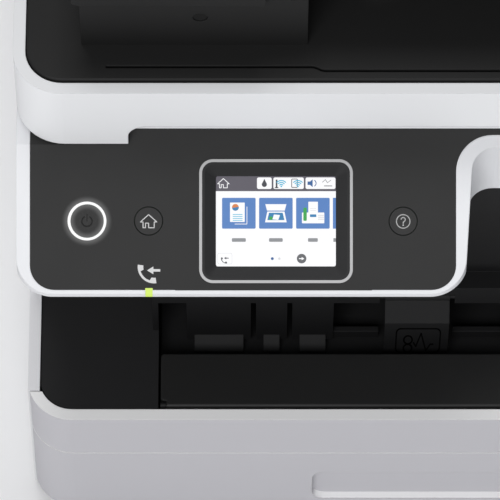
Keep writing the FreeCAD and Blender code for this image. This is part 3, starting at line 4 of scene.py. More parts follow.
import bmesh
import bpy
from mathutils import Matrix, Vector


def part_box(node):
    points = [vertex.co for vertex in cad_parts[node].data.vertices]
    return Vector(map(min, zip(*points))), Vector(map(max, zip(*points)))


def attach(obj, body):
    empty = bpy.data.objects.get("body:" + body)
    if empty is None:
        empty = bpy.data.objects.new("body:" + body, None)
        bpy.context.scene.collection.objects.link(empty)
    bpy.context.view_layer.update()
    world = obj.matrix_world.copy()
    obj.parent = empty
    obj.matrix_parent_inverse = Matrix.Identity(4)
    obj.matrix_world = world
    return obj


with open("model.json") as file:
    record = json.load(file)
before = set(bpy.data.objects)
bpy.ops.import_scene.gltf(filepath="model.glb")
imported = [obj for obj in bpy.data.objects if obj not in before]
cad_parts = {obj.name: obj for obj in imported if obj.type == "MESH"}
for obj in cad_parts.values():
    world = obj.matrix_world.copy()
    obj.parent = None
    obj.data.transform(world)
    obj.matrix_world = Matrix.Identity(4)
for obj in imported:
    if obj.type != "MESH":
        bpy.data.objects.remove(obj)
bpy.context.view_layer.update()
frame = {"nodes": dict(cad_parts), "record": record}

MM = 0.001
JOINTS = {joint["name"]: joint for joint in frame["record"]["behaviour"]["joints"]}


# ---- Colours and shader nodes; noise scales are in features per metre ----
DRIFT_SCALE = 9
HAZE_SCALE = 25
SMEAR_SCALE = 38
LINE_SCALE = 60
RUB_SCALE = 90
GLOW_SCALE = 220
FINE_SCALE = 400
BEVEL_SAMPLES = 4
COAT_ROUGHNESS = 0.25


def srgb(r, g, b):
    """Display colour, 0 to 255, as the linear colour that shaders take."""
    def one(c):
        c = c / 255
        return c / 12.92 if c <= 0.04045 else ((c + 0.055) / 1.055) ** 2.4
    return (one(r), one(g), one(b), 1.0)


def grey(level):
    return srgb(level, level, level)


def scaled(colour, factor, lift=0.0):
    """A colour made lighter or darker by a factor, and no lighter than white."""
    return [min(c * factor + lift, 1) for c in colour[:3]] + [1]


def node_tree(name):
    material = bpy.data.materials.new(name)
    material.use_nodes = True
    nodes = material.node_tree.nodes
    return material, nodes, material.node_tree.links, nodes["Principled BSDF"]


def feed(links, value, slot):
    """Links a socket to a slot, or sets the slot to a plain value."""
    if isinstance(value, bpy.types.NodeSocket):
        links.new(value, slot)
    else:
        slot.default_value = value


def ramp(nodes, links, source, low, high, start=0.0, stop=1.0):
    """Maps the range start to stop of a signal to the range low to high."""
    spread = nodes.new("ShaderNodeMapRange")
    spread.inputs["From Min"].default_value = start
    spread.inputs["From Max"].default_value = stop
    spread.inputs["To Min"].default_value = low
    spread.inputs["To Max"].default_value = high
    links.new(source, spread.inputs["Value"])
    return spread.outputs["Result"]


def blend(nodes, links, factor, first, second):
    """Mixes two colours, each a socket or a value."""
    mix = nodes.new("ShaderNodeMix")
    mix.data_type = "RGBA"
    links.new(factor, mix.inputs["Factor"])
    feed(links, first, mix.inputs["A"])
    feed(links, second, mix.inputs["B"])
    return mix.outputs["Result"]


def maths(nodes, links, operation, *values):
    """Result of a maths node whose inputs are sockets or numbers."""
    node = nodes.new("ShaderNodeMath")
    node.operation = operation
    for value, slot in zip(values, node.inputs):
        feed(links, value, slot)
    return node.outputs[0]


def noise(nodes, links, scale, detail=2.0, stretch=(1, 1, 1)):
    """Object-space noise at the given number of features per metre."""
    coords = nodes.new("ShaderNodeTexCoord")
    mapping = nodes.new("ShaderNodeMapping")
    mapping.inputs["Scale"].default_value = stretch
    links.new(coords.outputs["Object"], mapping.inputs["Vector"])
    texture = nodes.new("ShaderNodeTexNoise")
    texture.inputs["Scale"].default_value = scale
    texture.inputs["Detail"].default_value = detail
    links.new(mapping.outputs["Vector"], texture.inputs["Vector"])
    return texture.outputs["Fac"]


def rounded_normal(nodes, radius):
    """Surface normal with edges rounded by a radius in metres."""
    edge = nodes.new("ShaderNodeBevel")
    edge.samples = BEVEL_SAMPLES
    edge.inputs["Radius"].default_value = radius
    return edge.outputs["Normal"]


def bump(nodes, links, height, strength, distance, rounding=0.0):
    """Bumped normal; its base has edges rounded by the given radius in metres."""
    node = nodes.new("ShaderNodeBump")
    node.inputs["Strength"].default_value = strength
    node.inputs["Distance"].default_value = distance
    links.new(height, node.inputs["Height"])
    if rounding:
        links.new(rounded_normal(nodes, rounding), node.inputs["Normal"])
    return node.outputs["Normal"]


def rubbed_tone(nodes, links, base, rubbed, radius):
    """Mixes in a rubbed tone, in patches, within the given radius of an edge in metres."""
    geometry = nodes.new("ShaderNodeNewGeometry")
    match = nodes.new("ShaderNodeVectorMath")
    match.operation = "DOT_PRODUCT"
    links.new(rounded_normal(nodes, radius), match.inputs[0])
    links.new(geometry.outputs["Normal"], match.inputs[1])
    near_edge = ramp(nodes, links, match.outputs["Value"], 0.0, 1.0, start=0.995, stop=0.75)
    patches = ramp(nodes, links, noise(nodes, links, RUB_SCALE, 3), 0.3, 1.0)
    return blend(nodes, links, maths(nodes, links, "MULTIPLY", near_edge, patches), base, rubbed)


def painted_upright_shading(nodes, links, base, front):
    """Painted light and shade: mixes in another tone where the surface stands upright, so upright faces
    read lighter or darker than the tops.
    """
    coords = nodes.new("ShaderNodeTexCoord")
    split = nodes.new("ShaderNodeSeparateXYZ")
    links.new(coords.outputs["Normal"], split.inputs[0])
    upright = ramp(nodes, links, split.outputs["Z"], 0.0, 1.0, start=0.75, stop=0.15)
    return blend(nodes, links, upright, base, front)


# ---- Kinds of material ----
def plastic(name, colour, rough=0.45, grain=2600, depth=0.00003, edge=0.0006, wear=1.12, shade=0.03,
            specular=0.5, coat=0.0, front=None):
    """Moulded plastic: fine spark texture, slow colour drift, rubbed edges and rounded corners.

    front is a painted tone for upright faces, lighter or darker than the tops as light falls on them, if
    it differs.
    """
    material, nodes, links, shader = node_tree(name)
    drift = noise(nodes, links, DRIFT_SCALE, 3)
    base = blend(nodes, links, drift, scaled(colour, 1 - shade), scaled(colour, 1 + shade))
    if front:
        base = painted_upright_shading(nodes, links, base, front)
    if edge and wear > 1:
        base = rubbed_tone(nodes, links, base, scaled(colour, wear), edge)
    links.new(base, shader.inputs["Base Color"])
    smear = noise(nodes, links, SMEAR_SCALE, 4)
    links.new(ramp(nodes, links, smear, rough - 0.05, rough + 0.06), shader.inputs["Roughness"])
    shader.inputs["Specular IOR Level"].default_value = specular
    shader.inputs["Coat Weight"].default_value = coat
    shader.inputs["Coat Roughness"].default_value = COAT_ROUGHNESS
    spark = noise(nodes, links, grain)
    links.new(bump(nodes, links, spark, 0.35, depth, edge), shader.inputs["Normal"])
    return material


def satin(name, level, rough):
    """Smooth black plastic of the control panel, with a very fine texture."""
    return plastic(name, grey(level), rough, grain=3400, depth=0.00001, edge=0.0004, wear=1.1,
                   specular=0.2)


def printed(name, level, rough, specular=0.5):
    """Grey print or a moulded-in mark, too thin to have rubbed edges."""
    return plastic(name, grey(level), rough, depth=0.00001, edge=0.0, wear=1.0, specular=specular)


def metal(name, colour, rough=0.3, brushed=(1, 60, 60), edge=0.0003):
    """Rolled or plated metal with fine lines along one direction."""
    material, nodes, links, shader = node_tree(name)
    shader.inputs["Metallic"].default_value = 1.0
    lines = noise(nodes, links, LINE_SCALE, 3, brushed)
    tone = blend(nodes, links, lines, scaled(colour, 0.86), scaled(colour, 1.08))
    links.new(tone, shader.inputs["Base Color"])
    links.new(ramp(nodes, links, lines, rough - 0.08, rough + 0.1), shader.inputs["Roughness"])
    links.new(bump(nodes, links, lines, 0.12, 0.00002, edge), shader.inputs["Normal"])
    return material


def clear(name, colour, alpha, rough=0.06):
    """Thin clear plastic or glass with a faint haze."""
    material, nodes, links, shader = node_tree(name)
    haze = noise(nodes, links, HAZE_SCALE, 3)
    links.new(blend(nodes, links, haze, colour, scaled(colour, 1.1, 0.01)), shader.inputs["Base Color"])
    links.new(ramp(nodes, links, haze, rough, rough + 0.05), shader.inputs["Roughness"])
    shader.inputs["Alpha"].default_value = alpha
    fine = noise(nodes, links, FINE_SCALE)
    links.new(bump(nodes, links, fine, 0.05, 0.00001), shader.inputs["Normal"])
    return material


def lit(name, colour, strength, spread=0.04):
    """Light guide or display colour: glows evenly, with a slight fall-off from place to place."""
    material, nodes, links, shader = node_tree(name)
    patch = noise(nodes, links, GLOW_SCALE)
    glow = blend(nodes, links, patch, scaled(colour, 1 - spread), scaled(colour, 1 + spread))
    shader.inputs["Base Color"].default_value = scaled(colour, 0.08)
    links.new(glow, shader.inputs["Emission Color"])
    shader.inputs["Emission Strength"].default_value = strength
    links.new(ramp(nodes, links, patch, 0.3, 0.4), shader.inputs["Roughness"])
    return material


def halo(name, centre, colour, radius, reach, strength):
    """Painted glow, see-through, beside a round lamp, that fades with distance from its ring."""
    material, nodes, links, shader = node_tree(name)
    nodes.remove(shader)
    coords = nodes.new("ShaderNodeTexCoord")
    gap = nodes.new("ShaderNodeVectorMath")
    gap.operation = "DISTANCE"
    links.new(coords.outputs["Object"], gap.inputs[0])
    gap.inputs[1].default_value = centre
    away = maths(nodes, links, "ABSOLUTE", maths(nodes, links, "SUBTRACT", gap.outputs["Value"], radius))
    fade = ramp(nodes, links, away, strength, 0.0, stop=reach)
    fade.node.interpolation_type = "SMOOTHSTEP"
    glow = nodes.new("ShaderNodeEmission")
    glow.inputs["Color"].default_value = colour
    through = nodes.new("ShaderNodeBsdfTransparent")
    mix = nodes.new("ShaderNodeMixShader")
    links.new(fade, mix.inputs[0])
    links.new(through.outputs[0], mix.inputs[1])
    links.new(glow.outputs[0], mix.inputs[2])
    links.new(mix.outputs[0], nodes["Material Output"].inputs["Surface"])
    return material


# ---- The printer's materials ----
# The front tones below are painted light and shade: upright faces of the scanner shell are drawn lighter
# than its tops, and those of the grey body and the front grey darker.
SHELL = plastic("shell_white", srgb(231, 232, 234), 0.5, specular=0.3, front=srgb(250, 251, 253))
RIM = plastic("front_white", srgb(235, 236, 239), 0.45, edge=0.0008, specular=0.3)
BODY = plastic("body_light_grey", srgb(238, 238, 241), 0.5, specular=0.3, front=srgb(232, 233, 235))
FRONT = plastic("front_light_grey", srgb(254, 254, 255), 0.5, specular=0.3, front=srgb(201, 200, 205))
LID = plastic("lid_black", grey(30), 0.6, wear=1.4, specular=0.25)
PANEL = satin("panel_black", 48, 0.6)
KEYS = satin("key_black", 49, 0.55)
BEZEL = plastic("bezel_black", srgb(43, 43, 44), 0.55, edge=0.0003, wear=1.1, specular=0.2)
DARK = plastic("inner_black", srgb(22, 22, 23), 0.6, wear=1.6, edge=0.0005, specular=0.25)
DECK = plastic("deck_black", srgb(34, 34, 35), 0.6, wear=1.3, edge=0.0005, specular=0.25)
LIP = plastic("lip_black", grey(28), 0.55, wear=1.6, edge=0.0009, specular=0.4)
RUBBER = plastic("rubber_black", grey(24), 0.8, grain=900, depth=0.0001, wear=1.1, specular=0.25)
GEAR = plastic("acetal_cream", srgb(224, 222, 208), 0.4, wear=1.05)
PAD = plastic("white_pad", srgb(238, 238, 236), 0.7, grain=700, depth=0.00012, wear=1.0)
BOARD = plastic("circuit_green", srgb(24, 84, 44), 0.35, grain=500, depth=0.00008, wear=1.3)
STEEL = metal("zinc_steel", srgb(176, 178, 180), 0.34)
TRIM = plastic("silver_trim", srgb(182, 182, 183), 0.38, edge=0.0003, coat=0.2)
MOTOR = metal("motor_can", srgb(120, 121, 124), 0.4, (60, 1, 1))
GLASS = clear("flatbed_glass", srgb(190, 205, 200), 0.3)
WINDOW = clear("smoked_window", srgb(90, 92, 98), 0.28)
TANK = clear("tank_clear", srgb(226, 230, 234), 0.35, 0.2)
SCREEN = clear("screen_cover", srgb(20, 20, 24), 1.0, 0.1)
RING_LIGHT = lit("ring_light", grey(250), 0.92)
GREEN_LIGHT = lit("green_light", srgb(206, 234, 92), 0.92)
MARK = printed("mark_grey", 214, 0.5)
DIM_MARK = printed("mark_dim", 12, 0.7)
# The next material draws a painted shadow: a dark hairline where the gap at the panel's lower rim lies
# in shade.
GAP_SHADOW = printed("gap_shadow_black", 16, 0.6)
SIGN = printed("sign_black", 3, 0.8, specular=0.05)

FINISH = {
    "base_frame": DECK, "left_side_cover": BODY, "right_side_cover": BODY, "rear_housing": BODY,
    "case_screws": STEEL, "rubber_feet": RUBBER, "exit_cover": DARK, "jam_flap": DARK,
    "front_housing": RIM, "panel_face": PANEL, "panel_underside": LID, "screen_ring": TRIM,
    "screen_bezel": BEZEL, "touch_screen": SCREEN, "panel_board": BOARD, "power_ring_light": RING_LIGHT,
    "fax_light": GREEN_LIGHT, "power_button": KEYS, "home_button": KEYS, "help_button": KEYS,
    "scanner_base": SHELL, "scanner_glass": GLASS, "scan_carriage": DARK, "document_cover": LID,
    "cover_pad": PAD, "adf_base": LID, "adf_cover": LID, "adf_input_tray": LID, "adf_edge_guide": DECK,
    "adf_feed_roller": RUBBER, "carriage_rail": STEEL, "drive_belt": RUBBER, "carriage_motor": MOTOR,
    "print_carriage": DARK, "platen": DARK, "feed_roller": STEEL, "exit_roller": RUBBER,
    "motor_pinion": GEAR, "pinch_rollers": GEAR, "feed_motor": MOTOR, "capping_station": DARK,
    "main_board": BOARD, "power_supply": DECK, "ink_tank_housing": SHELL, "ink_window": WINDOW,
    "ink_tanks": TANK, "tank_caps": DECK, "ink_tank_cover": SHELL, "cassette_front": FRONT,
    "tray_front": FRONT, "paper_cassette": DECK, "cassette_left_guide": GEAR,
    "cassette_right_guide": GEAR, "cassette_end_guide": GEAR, "pickup_arm": DARK,
    "pickup_roller": RUBBER, "output_tray": DARK, "paper_stopper": LIP, "rear_cover": BODY,
    "maintenance_box": DECK,
}


def dress_nodes():
    for name, node in frame["nodes"].items():
        node.data.materials.clear()
        node.data.materials.append(FINISH[name])


# ---- Directions and places; marks are drawn in millimetres ----
PRESS = Vector(JOINTS["power_press"]["axis"])
OUT = -PRESS                           # square to the tilted panel
UP = Vector((0, OUT.z, -OUT.y))        # up the slope of the panel
ACROSS = Vector((1, 0, 0))
FORWARD = Vector((0, -1, 0))
UPRIGHT = Vector((0, 0, 1))
RING_TO_SURFACE = 1.725                # from the ring light's middle out to the panel's surface
SCREEN_TO_SURFACE = 0.775              # from the touch screen's middle out to its surface
MARK_GAP = 0.02
MARK_THICK = 0.015


def centre(node):
    low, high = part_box(node)
    return (Vector(low) + Vector(high)) / 2


def panel_point(node):
    """The point of the panel's outer surface nearest to a node's middle."""
    surface = centre("power_ring_light") + OUT * RING_TO_SURFACE * MM
    middle = centre(node)
    return middle - OUT * (middle - surface).dot(OUT)


# ---- Outlines and meshes ----
def arc(x, y, r, start, end, steps=20):
    """Points along an arc between two angles in degrees."""
    angles = [math.radians(start + (end - start) * i / steps) for i in range(steps + 1)]
    return [(x + r * math.cos(a), y + r * math.sin(a)) for a in angles]


def disc(x, y, r, steps=40):
    angles = [math.tau * i / steps for i in range(steps)]
    return [(x + r * math.cos(a), y + r * math.sin(a)) for a in angles]


def plate(x, y, w, h, r=0.0, steps=6):
    """Rectangle outline about a centre, with rounded corners if r is given."""
    left, right, foot, top = x - w / 2, x + w / 2, y - h / 2, y + h / 2
    if not r:
        return [(left, foot), (right, foot), (right, top), (left, top)]
    return (arc(right - r, foot + r, r, -90, 0, steps) + arc(right - r, top - r, r, 0, 90, steps)
            + arc(left + r, top - r, r, 90, 180, steps) + arc(left + r, foot + r, r, 180, 270, steps))


def stroke(points, width, closed=False):
    """Outlines that draw a line through the points: one strip per run and a dot per corner."""
    shapes = []
    ends = points[1:] + points[:1] if closed else points[1:]
    for (x0, y0), (x1, y1) in zip(points, ends):
        length = math.hypot(x1 - x0, y1 - y0) or 1.0
        nx, ny = -(y1 - y0) / length * width / 2, (x1 - x0) / length * width / 2
        shapes.append([(x0 + nx, y0 + ny), (x0 - nx, y0 - ny), (x1 - nx, y1 - ny), (x1 + nx, y1 + ny)])
    return shapes + [disc(x, y, width / 2, 12) for x, y in points]


def add_piece(name, build, material, body):
    """Turns a bmesh into a dressed object that rides on a body."""
    mesh = bpy.data.meshes.new(name)
    build.to_mesh(mesh)
    build.free()
    mesh.materials.append(material)
    piece = bpy.data.objects.new(name, mesh)
    bpy.context.scene.collection.objects.link(piece)
    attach(piece, body)


def marks(name, shapes, material, origin, level=MARK_GAP, body="chassis", up=UP, out=OUT,
          thick=MARK_THICK):
    """One mesh of thin raised shapes that lie on a surface, level millimetres above the origin."""
    build = bmesh.new()
    for outline in shapes:
        lower = []
        upper = []
        for x, y in outline:
            spot = origin + (ACROSS * x + up * y + out * level) * MM
            lower.append(build.verts.new(spot))
            upper.append(build.verts.new(spot + out * thick * MM))
        build.faces.new(upper)
        for i in range(len(outline)):
            j = (i + 1) % len(outline)
            build.faces.new((lower[i], lower[j], upper[j], upper[i]))
    bmesh.ops.triangulate(build, faces=[f for f in build.faces if len(f.verts) > 4])
    bmesh.ops.recalc_face_normals(build, faces=build.faces)
    add_piece(name, build, material, body)


def soft_block(name, low, high, material, body, edge=0.0008):
    """Closed block with rounded edges between two corners."""
    build = bmesh.new()
    corners = [build.verts.new((x, y, z)) for x in (low[0], high[0]) for y in (low[1], high[1])
               for z in (low[2], high[2])]
    for side in ((0, 1, 3, 2), (4, 6, 7, 5), (0, 4, 5, 1), (2, 3, 7, 6), (0, 2, 6, 4), (1, 5, 7, 3)):
        build.faces.new([corners[i] for i in side])
    bmesh.ops.bevel(build, geom=build.edges[:], offset=edge, segments=3, affect="EDGES")
    add_piece(name, build, material, body)


# ---- Signs used more than once ----
def house(x, y, size, width):
    """Outline of a house with eaves and a door left of the middle."""
    half, wall, door = size / 2, 0.34 * size, 0.19 * size
    peak, eave, lintel, foot = y + 0.4 * size, y - 0.05 * size, y - 0.12 * size, y - 0.4 * size
    roof = [(x - wall, eave), (x - half, eave), (x, peak), (x + half, eave), (x + wall, eave)]
    walls = [(x - wall, eave), (x - wall, foot), (x - door, foot), (x - door, lintel), (x, lintel),
             (x, foot), (x + wall, foot), (x + wall, eave)]
    return stroke(roof, width) + stroke(walls, width)


def handset(x, y, size):
    """Telephone handset about the centre of its curve, which lies at the upper right."""
    outer = arc(x, y, size, 172, 278, 24)
    lower = arc(x, y, 0.66 * size, 278, 256, 5)
    inner = arc(x, y, 0.86 * size, 252, 198, 14)
    upper = arc(x, y, 0.66 * size, 194, 172, 5)
    return [outer + lower + inner + upper]


def arrow(x, y, length, head, width, sign=-1):
    """Arrow along the X direction; sign -1 points left."""
    tip = x + sign * length / 2
    tail = x - sign * length / 2
    neck = tip - sign * head
    wing = 0.62 * head
    half = width / 2
    return [[(tip, y), (neck, y + wing), (neck, y + half), (tail, y + half), (tail, y - half),
             (neck, y - half), (neck, y - wing)]]


# ---- Marks on the panel ----
CALL_DROP = 20.2    # from the power key down the panel to the telephone sign


def key_marks():
    power = panel_point("power_button")
    symbol = stroke(arc(0, -0.1, 2.1, 120, 420, 24), 0.5) + stroke([(0, 0.1), (0, 2.7)], 0.5)
    marks("power_symbol", symbol, DIM_MARK, power, body="power_key")
    marks("home_symbol", house(0, 0, 6.7, 0.36), MARK, panel_point("home_button"), body="home_key")
    hook = arc(0, 0.75, 0.85, 170, -60, 14) + [(0.05, -0.35), (0.0, -0.75)]
    query = stroke(hook, 0.42) + [disc(0, -1.55, 0.3, 16)]
    circle = stroke(arc(0, 0, 2.75, 0, 360, 48), 0.4)
    marks("help_symbol", query + circle, MARK, panel_point("help_button"), body="help_key")
    light = panel_point("fax_light")
    call = light + UP * ((power - light).dot(UP) - CALL_DROP * MM)
    marks("call_symbol", handset(2.1, 1.5, 6.7) + arrow(1.9, 0.1, 5.4, 2.6, 1.0), MARK, call)


# ---- Display picture ----
WHITE = lit("display_white", srgb(250, 250, 252), 0.9, 0.01)
HEADER = lit("display_header", srgb(80, 76, 88), 0.85)
BLUE = lit("display_blue", srgb(72, 122, 190), 0.9)
PALE = lit("display_pale", srgb(216, 217, 220), 0.9)
INK = lit("display_ink", srgb(44, 48, 58), 0.85)
CYAN = lit("display_cyan", srgb(60, 180, 215), 0.9)
SEA = lit("display_sea", srgb(20, 120, 175), 0.9)
NAVY = lit("display_navy", srgb(26, 88, 150), 0.9)
LIME = lit("display_green", srgb(24, 160, 60), 0.9)
ORANGE = lit("display_orange", srgb(215, 120, 50), 0.9)
SLATE = lit("display_grey", srgb(88, 90, 94), 0.85)
CAPTION = lit("display_caption", srgb(140, 142, 146), 0.85)
SCREEN_W = 48.9
SCREEN_H = 36.8
BAR_H = 6.1
PILL_Y = (SCREEN_H - BAR_H) / 2 + 0.2
PILL_H = 4.7
TILE_W = 13.7
TILE_H = 12.6
TILE_Y = 3.3
TILE_STEP = 15.1
TILE_XS = (-TILE_STEP, 0, TILE_STEP)
CAPTION_Y = -7.6
CAPTION_H = 1.5
FOOT_Y = -15.2
INK_LAYER = 0.03    # height from one layer of the picture to the next
INK_THICK = 0.01


def sheet_tile(x, y):
    """Copy sign: a printed sheet in front of another."""
    sheet = [plate(x - 0.6, y + 0.4, 6.0, 7.9, 0.15)]
    behind = stroke([(x - 1.6, y - 4.4), (x + 3.3, y - 4.4), (x + 3.3, y + 2.6)], 0.25)
    lines = [plate(x - 0.5, y - 0.5 - 0.8 * i, 4.0, 0.3) for i in range(4)]
    return sheet + behind, lines


def flatbed_tile(x, y):
    """Scan sign: an open lid above a glass."""
    lid = [(x - 3.6, y + 1.1), (x + 3.6, y + 1.1), (x + 4.3, y + 3.7), (x - 4.3, y + 3.7)]
    bed = [(x - 4.4, y - 3.7), (x + 4.4, y - 3.7), (x + 3.5, y + 0.7), (x - 3.5, y + 0.7)]
    glass = [(x - 3.5, y - 2.8), (x + 3.5, y - 2.8), (x + 2.8, y + 0.2), (x - 2.8, y + 0.2)]
    return [lid, bed], [glass]


def machine_tile(x, y):
    """Fax sign: a desk machine with a sheet, its handset and its keys."""
    base = [plate(x + 0.1, y - 1.9, 9.1, 4.4, 0.3), plate(x + 0.1, y + 2.4, 3.9, 4.6, 0.15)]
    grip = [plate(x - 3.2, y - 0.4, 1.4, 5.4, 0.4)]
    steps = (0, 0.8, 1.6)
    keys = [plate(x + 2.5 + dx, y - 0.9 - dy, 0.6, 0.5) for dx in steps for dy in steps]
    slips = [plate(x + 0.1, y + 1.9 - 0.8 * i, 2.4, 0.2) for i in range(2)]
    return base, grip, keys + slips


def wave_sign(x, y):
    """Radio waves above a dot."""
    shapes = [disc(x, y - 1.3, 0.35, 12)]
    for r in (0.9, 1.7, 2.5):
        shapes += stroke(arc(x, y - 1.4, r, 45, 135, 8), 0.42)
    return shapes


def layer(name, shapes, material, rank):
    """Shapes of one colour on the display, rank layers above its page."""
    origin = centre("touch_screen") + OUT * SCREEN_TO_SURFACE * MM
    marks(name, shapes, material, origin, MARK_GAP + rank * INK_LAYER, thick=INK_THICK)


def tile_signs():
    """Copy, scan and fax signs on the three tiles."""
    sheet, lines = sheet_tile(-TILE_STEP, TILE_Y)
    flatbed, glass = flatbed_tile(0, TILE_Y)
    machine, grip, keys = machine_tile(TILE_STEP, TILE_Y)
    layer("tile_pictures", sheet + flatbed + machine, WHITE, 2)
    layer("picture_lines", lines, CYAN, 3)
    layer("picture_glass", glass + [plate(TILE_STEP + 0.1, TILE_Y - 1.0, 2.6, 1.1, 0.2)], SEA, 3)
    page = [(-1.4, TILE_Y - 2.5), (1.0, TILE_Y - 2.7), (1.7, TILE_Y - 0.7), (-0.8, TILE_Y - 0.5)]
    layer("picture_page", [page], WHITE, 4)
    layer("picture_green", grip + [disc(-2.0, TILE_Y - 2.0, 0.75, 16)], LIME, 4)
    for name, start, material in (("pie_upper", 10, ORANGE), ("pie_lower", 190, SEA)):
        layer(name, [arc(-TILE_STEP - 1.4, TILE_Y + 2.4, 1.4, start, start + 180, 16)], material, 3)
    layer("picture_keys", keys, PALE, 4)


def dark_icons():
    """Ink drop and network devices in the light fields, and a telephone in the key at the foot."""
    drop = arc(-4.7, PILL_Y - 0.5, 1.05, -220, 40, 16) + [(-4.7, PILL_Y + 1.8)]
    phone = stroke(plate(7.6, PILL_Y, 2.3, 3.4, 0.3), 0.3, True)
    router = [plate(0.3, PILL_Y - 0.2, 0.7, 3.4, 0.1), plate(0.3, PILL_Y - 1.8, 1.5, 0.4)]
    call = handset(-20.2, -15.0, 2.2) + arrow(-20.2, -15.0, 1.9, 0.9, 0.35)
    layer("dark_icons", [drop] + phone + router + call, INK, 3)


def foot_keys():
    """Key at the lower left, page dots and next key."""
    layer("soft_key", stroke(plate(-20.8, FOOT_Y, 5.8, 4.4, 0.7), 0.16, True), PALE, 2)
    layer("page_dot", [disc(-1.45, FOOT_Y, 0.6, 20)], NAVY, 1)
    layer("page_dot_idle", [disc(1.4, FOOT_Y, 0.5, 20)], PALE, 1)
    layer("next_key", [disc(10.5, FOOT_Y, 1.95, 32)], SLATE, 1)
    layer("next_arrow", arrow(10.5, FOOT_Y, 2.2, 1.1, 0.4, 1), WHITE, 2)


def header_signs():
    """Radio, sound and quiet signs in the light fields along the top."""
    layer("wave_signs", wave_sign(2.2, PILL_Y) + wave_sign(9.0, PILL_Y), CYAN, 4)
    cone = [(12.9, PILL_Y - 0.7), (13.9, PILL_Y - 0.7), (15.0, PILL_Y - 1.6), (15.0, PILL_Y + 1.6),
            (13.9, PILL_Y + 0.7), (12.9, PILL_Y + 0.7)]
    layer("speaker", [cone] + stroke(arc(15.0, PILL_Y, 1.4, -55, 55, 8), 0.35), NAVY, 3)
    zigzag = [(19.0, PILL_Y + 0.4), (20.2, PILL_Y + 1.5), (21.0, PILL_Y + 0.2), (22.4, PILL_Y + 1.2)]
    hush = stroke(zigzag, 0.25) + stroke([(19.8, PILL_Y - 1.1), (22.8, PILL_Y - 1.1)], 0.4)
    layer("quiet_sign", hush, CAPTION, 3)


def display():
    """A home page of generic function tiles: three tiles, status signs, page dots and a next key."""
    layer("page", [plate(0, 0, SCREEN_W, SCREEN_H)], WHITE, 0)
    layer("header", [plate(0, (SCREEN_H - BAR_H) / 2, SCREEN_W, BAR_H)], HEADER, 1)
    pills = [plate(x, PILL_Y, w, PILL_H, 0.7) for x, w in ((-4.7, 6.0), (5.2, 12.4), (18.2, 12.2))]
    layer("pills", pills + house(-21.4, PILL_Y, PILL_H, 0.28), WHITE, 2)
    tiles = [plate(x, TILE_Y, TILE_W, TILE_H, 0.5) for x in TILE_XS]
    layer("tiles", tiles + [plate(SCREEN_W / 2 - 0.6, TILE_Y, 1.2, TILE_H)], BLUE, 1)
    tile_signs()
    captions = [plate(x, CAPTION_Y, w, CAPTION_H, 0.4) for x, w in zip(TILE_XS, (5.7, 5.6, 4.0))]
    next_caption = plate(SCREEN_W / 2 - 0.5, CAPTION_Y, 1.0, CAPTION_H)
    layer("caption_bars", captions + [next_caption], CAPTION, 1)
    dark_icons()
    foot_keys()
    header_signs()


# ---- Lamps, painted glow, painted gap shadow and flap sign ----
HALO_RADIUS = 0.00738
HALO_REACH = 0.0032
HALO_STRENGTH = 0.12
HALO_DISC = 10.8
SIGN_STRETCH = 2.13
SIGN_LINE = 0.6


def lamps():
    """Painted glow around the power key, and the lens of the telephone light on the panel's lower rim.
    """
    lamp = panel_point("power_ring_light")
    glow = halo("ring_halo", lamp, srgb(255, 255, 255), HALO_RADIUS, HALO_REACH, HALO_STRENGTH)
    marks("ring_halo", [disc(0, 0, HALO_DISC, 64)], glow, lamp, 0.07, thick=0.004)
    green = panel_point("fax_light")
    inner = UP * ((Vector(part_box("fax_light")[1]) - green).dot(UP))
    marks("fax_lens", [plate(0, 0.35, 3.1, 0.9, 0.3)], GREEN_LIGHT, green + inner)


def painted_gap_shadow():
    """Painted shadow: a dark hairline between the black sheet and the lower rim of the panel, where the
    gap between them lies in shade.
    """
    low = panel_point("fax_light")
    middle = Vector((panel_point("screen_ring").x, low.y, low.z))
    marks("panel_gap_shadow", [plate(-1.0, 2.0, 80.2, 0.4)], GAP_SHADOW, middle)


def flap_symbol():
    """Paper path sign moulded in the exit flap: a framed zigzag sheet beside two rollers.

    The sign is stretched upward so that it reads square from the high angle of a person at the panel.
    """
    low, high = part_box("jam_flap")
    origin = Vector(((low[0] + high[0]) / 2 + 0.8 * MM, low[1] - 0.01 * MM, low[2] + 12.0 * MM))
    shapes = stroke(plate(0, -0.3, 18.9, 10.5, 1.9), SIGN_LINE, True)
    for y in (0, -3.7):
        shapes += stroke(arc(-4.3, y, 1.8, 0, 360, 24), SIGN_LINE)
    shapes += stroke([(-1.9, -1.2), (-0.8, -2.9), (1.2, 2.9), (3.6, -4.7), (5.4, -1.9), (6.5, -1.9)],
                     SIGN_LINE)
    marks("flap_sign", shapes, SIGN, origin, 0.0, "flap", UPRIGHT * SIGN_STRETCH, FORWARD, 0.03)


# ---- Ink ----
INKS = (("black", (12, 12, 14), 0.86), ("cyan", (0, 140, 200), 0.7), ("magenta", (200, 20, 110), 0.74),
        ("yellow", (245, 208, 0), 0.66))
TANK_PITCH = 19.0 * MM
TANK_WALL = 2.0 * MM
TANK_REAR_GAP = 4.0 * MM
INK_WIDTH = 13.5 * MM
FULL_LEVEL = 124.0 * MM
TICK_COLUMNS = (-26.5, -8.5, 10.5)


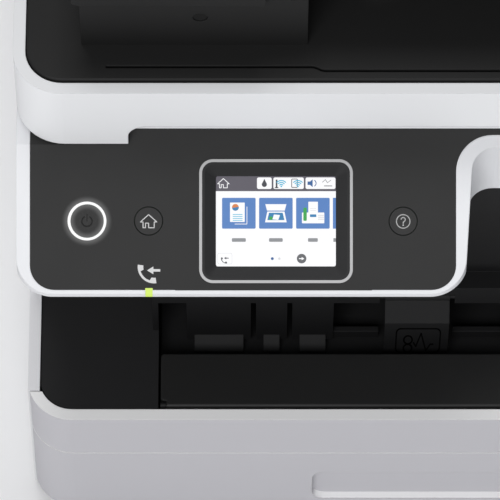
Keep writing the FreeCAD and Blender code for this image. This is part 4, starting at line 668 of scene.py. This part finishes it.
def inks():
    """Ink inside each of the four tanks, and level marks on the window."""
    low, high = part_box("ink_tanks")
    bottom = low[2] + TANK_WALL
    for i, (name, colour, fill) in enumerate(INKS):
        left = low[0] + i * TANK_PITCH + TANK_WALL
        top = bottom + (FULL_LEVEL - bottom) * fill
        liquid = plastic("ink_" + name, srgb(*colour), 0.2, depth=0.000005, edge=0.0, wear=1.0, coat=0.5)
        soft_block("ink_" + name, (left, low[1] + TANK_WALL, bottom),
                   (left + INK_WIDTH, high[1] - TANK_REAR_GAP, top), liquid, "chassis")
    w_low, w_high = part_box("ink_window")
    origin = Vector(((w_low[0] + w_high[0]) / 2, w_low[1] - MARK_GAP * MM, (w_low[2] + w_high[2]) / 2))
    ticks = []
    for x in TICK_COLUMNS:
        ticks += [plate(x, y, 5, 0.5) for y in (-40, 40)]
        ticks += [plate(x - 1.2, y, 2.4, 0.35) for y in (-20, 0, 20)]
    marks("level_marks", ticks, MARK, origin, 0.0, up=UPRIGHT, out=FORWARD, thick=0.02)


# ---- Camera, light and floor ----
AIM_X = -10.6          # the picture's middle, in millimetres across and up the panel from the screen
AIM_UP = -11.75
DISTANCE = 2.1
VIEW_WIDTH = 0.20365
SENSOR_WIDTH = 36.0
LIGHT_TARGET = (-0.05, -0.1, 0.2)
SKY_COLOUR = (0.97, 0.98, 1.0, 1)
SKY_STRENGTH = 0.24


def camera():
    """A long lens that looks square at the tilted panel from above."""
    aim = panel_point("screen_ring") + (ACROSS * AIM_X + UP * AIM_UP) * MM
    data = bpy.data.cameras.new("camera")
    data.sensor_width = SENSOR_WIDTH
    data.lens = SENSOR_WIDTH * DISTANCE / VIEW_WIDTH
    data.clip_end = 20.0
    eye = bpy.data.objects.new("camera", data)
    eye.location = aim + OUT * DISTANCE
    eye.rotation_euler = (math.acos(OUT.z), 0, 0)
    bpy.context.scene.collection.objects.link(eye)
    bpy.context.scene.camera = eye


def area_light(name, place, size, power):
    """Soft light of the given size in metres that faces the printer."""
    data = bpy.data.lights.new(name, "AREA")
    data.shape = "RECTANGLE"
    data.size, data.size_y = size
    data.energy = power
    lamp = bpy.data.objects.new(name, data)
    lamp.location = place
    lamp.rotation_euler = (Vector(LIGHT_TARGET) - Vector(place)).to_track_quat("-Z", "Y").to_euler()
    bpy.context.scene.collection.objects.link(lamp)


def studio():
    """White paper floor, soft sky and two soft lights."""
    scene = bpy.context.scene
    scene.view_settings.view_transform = "Standard"
    world = bpy.data.worlds.new("studio")
    world.use_nodes = True
    sky = world.node_tree.nodes["Background"]
    sky.inputs["Color"].default_value = SKY_COLOUR
    sky.inputs["Strength"].default_value = SKY_STRENGTH
    scene.world = world
    area_light("top_key", (-0.2, 0.5, 2.55), (0.8, 0.8), 16)
    area_light("front_soft", (-0.6, -2.1, 2.4), (1.6, 1.0), 50)
    mesh = bpy.data.meshes.new("floor")
    build = bmesh.new()
    bmesh.ops.create_grid(build, x_segments=8, y_segments=8, size=5.0)
    build.to_mesh(mesh)
    build.free()
    mesh.materials.append(plastic("floor_paper", srgb(246, 246, 247), 0.7, grain=60, depth=0.0002,
                                  edge=0.0, wear=1.0, shade=0.004, specular=0.2))
    floor = bpy.data.objects.new("floor", mesh)
    scene.collection.objects.link(floor)


dress_nodes()
key_marks()
display()
lamps()
painted_gap_shadow()
flap_symbol()
inks()
camera()
studio()
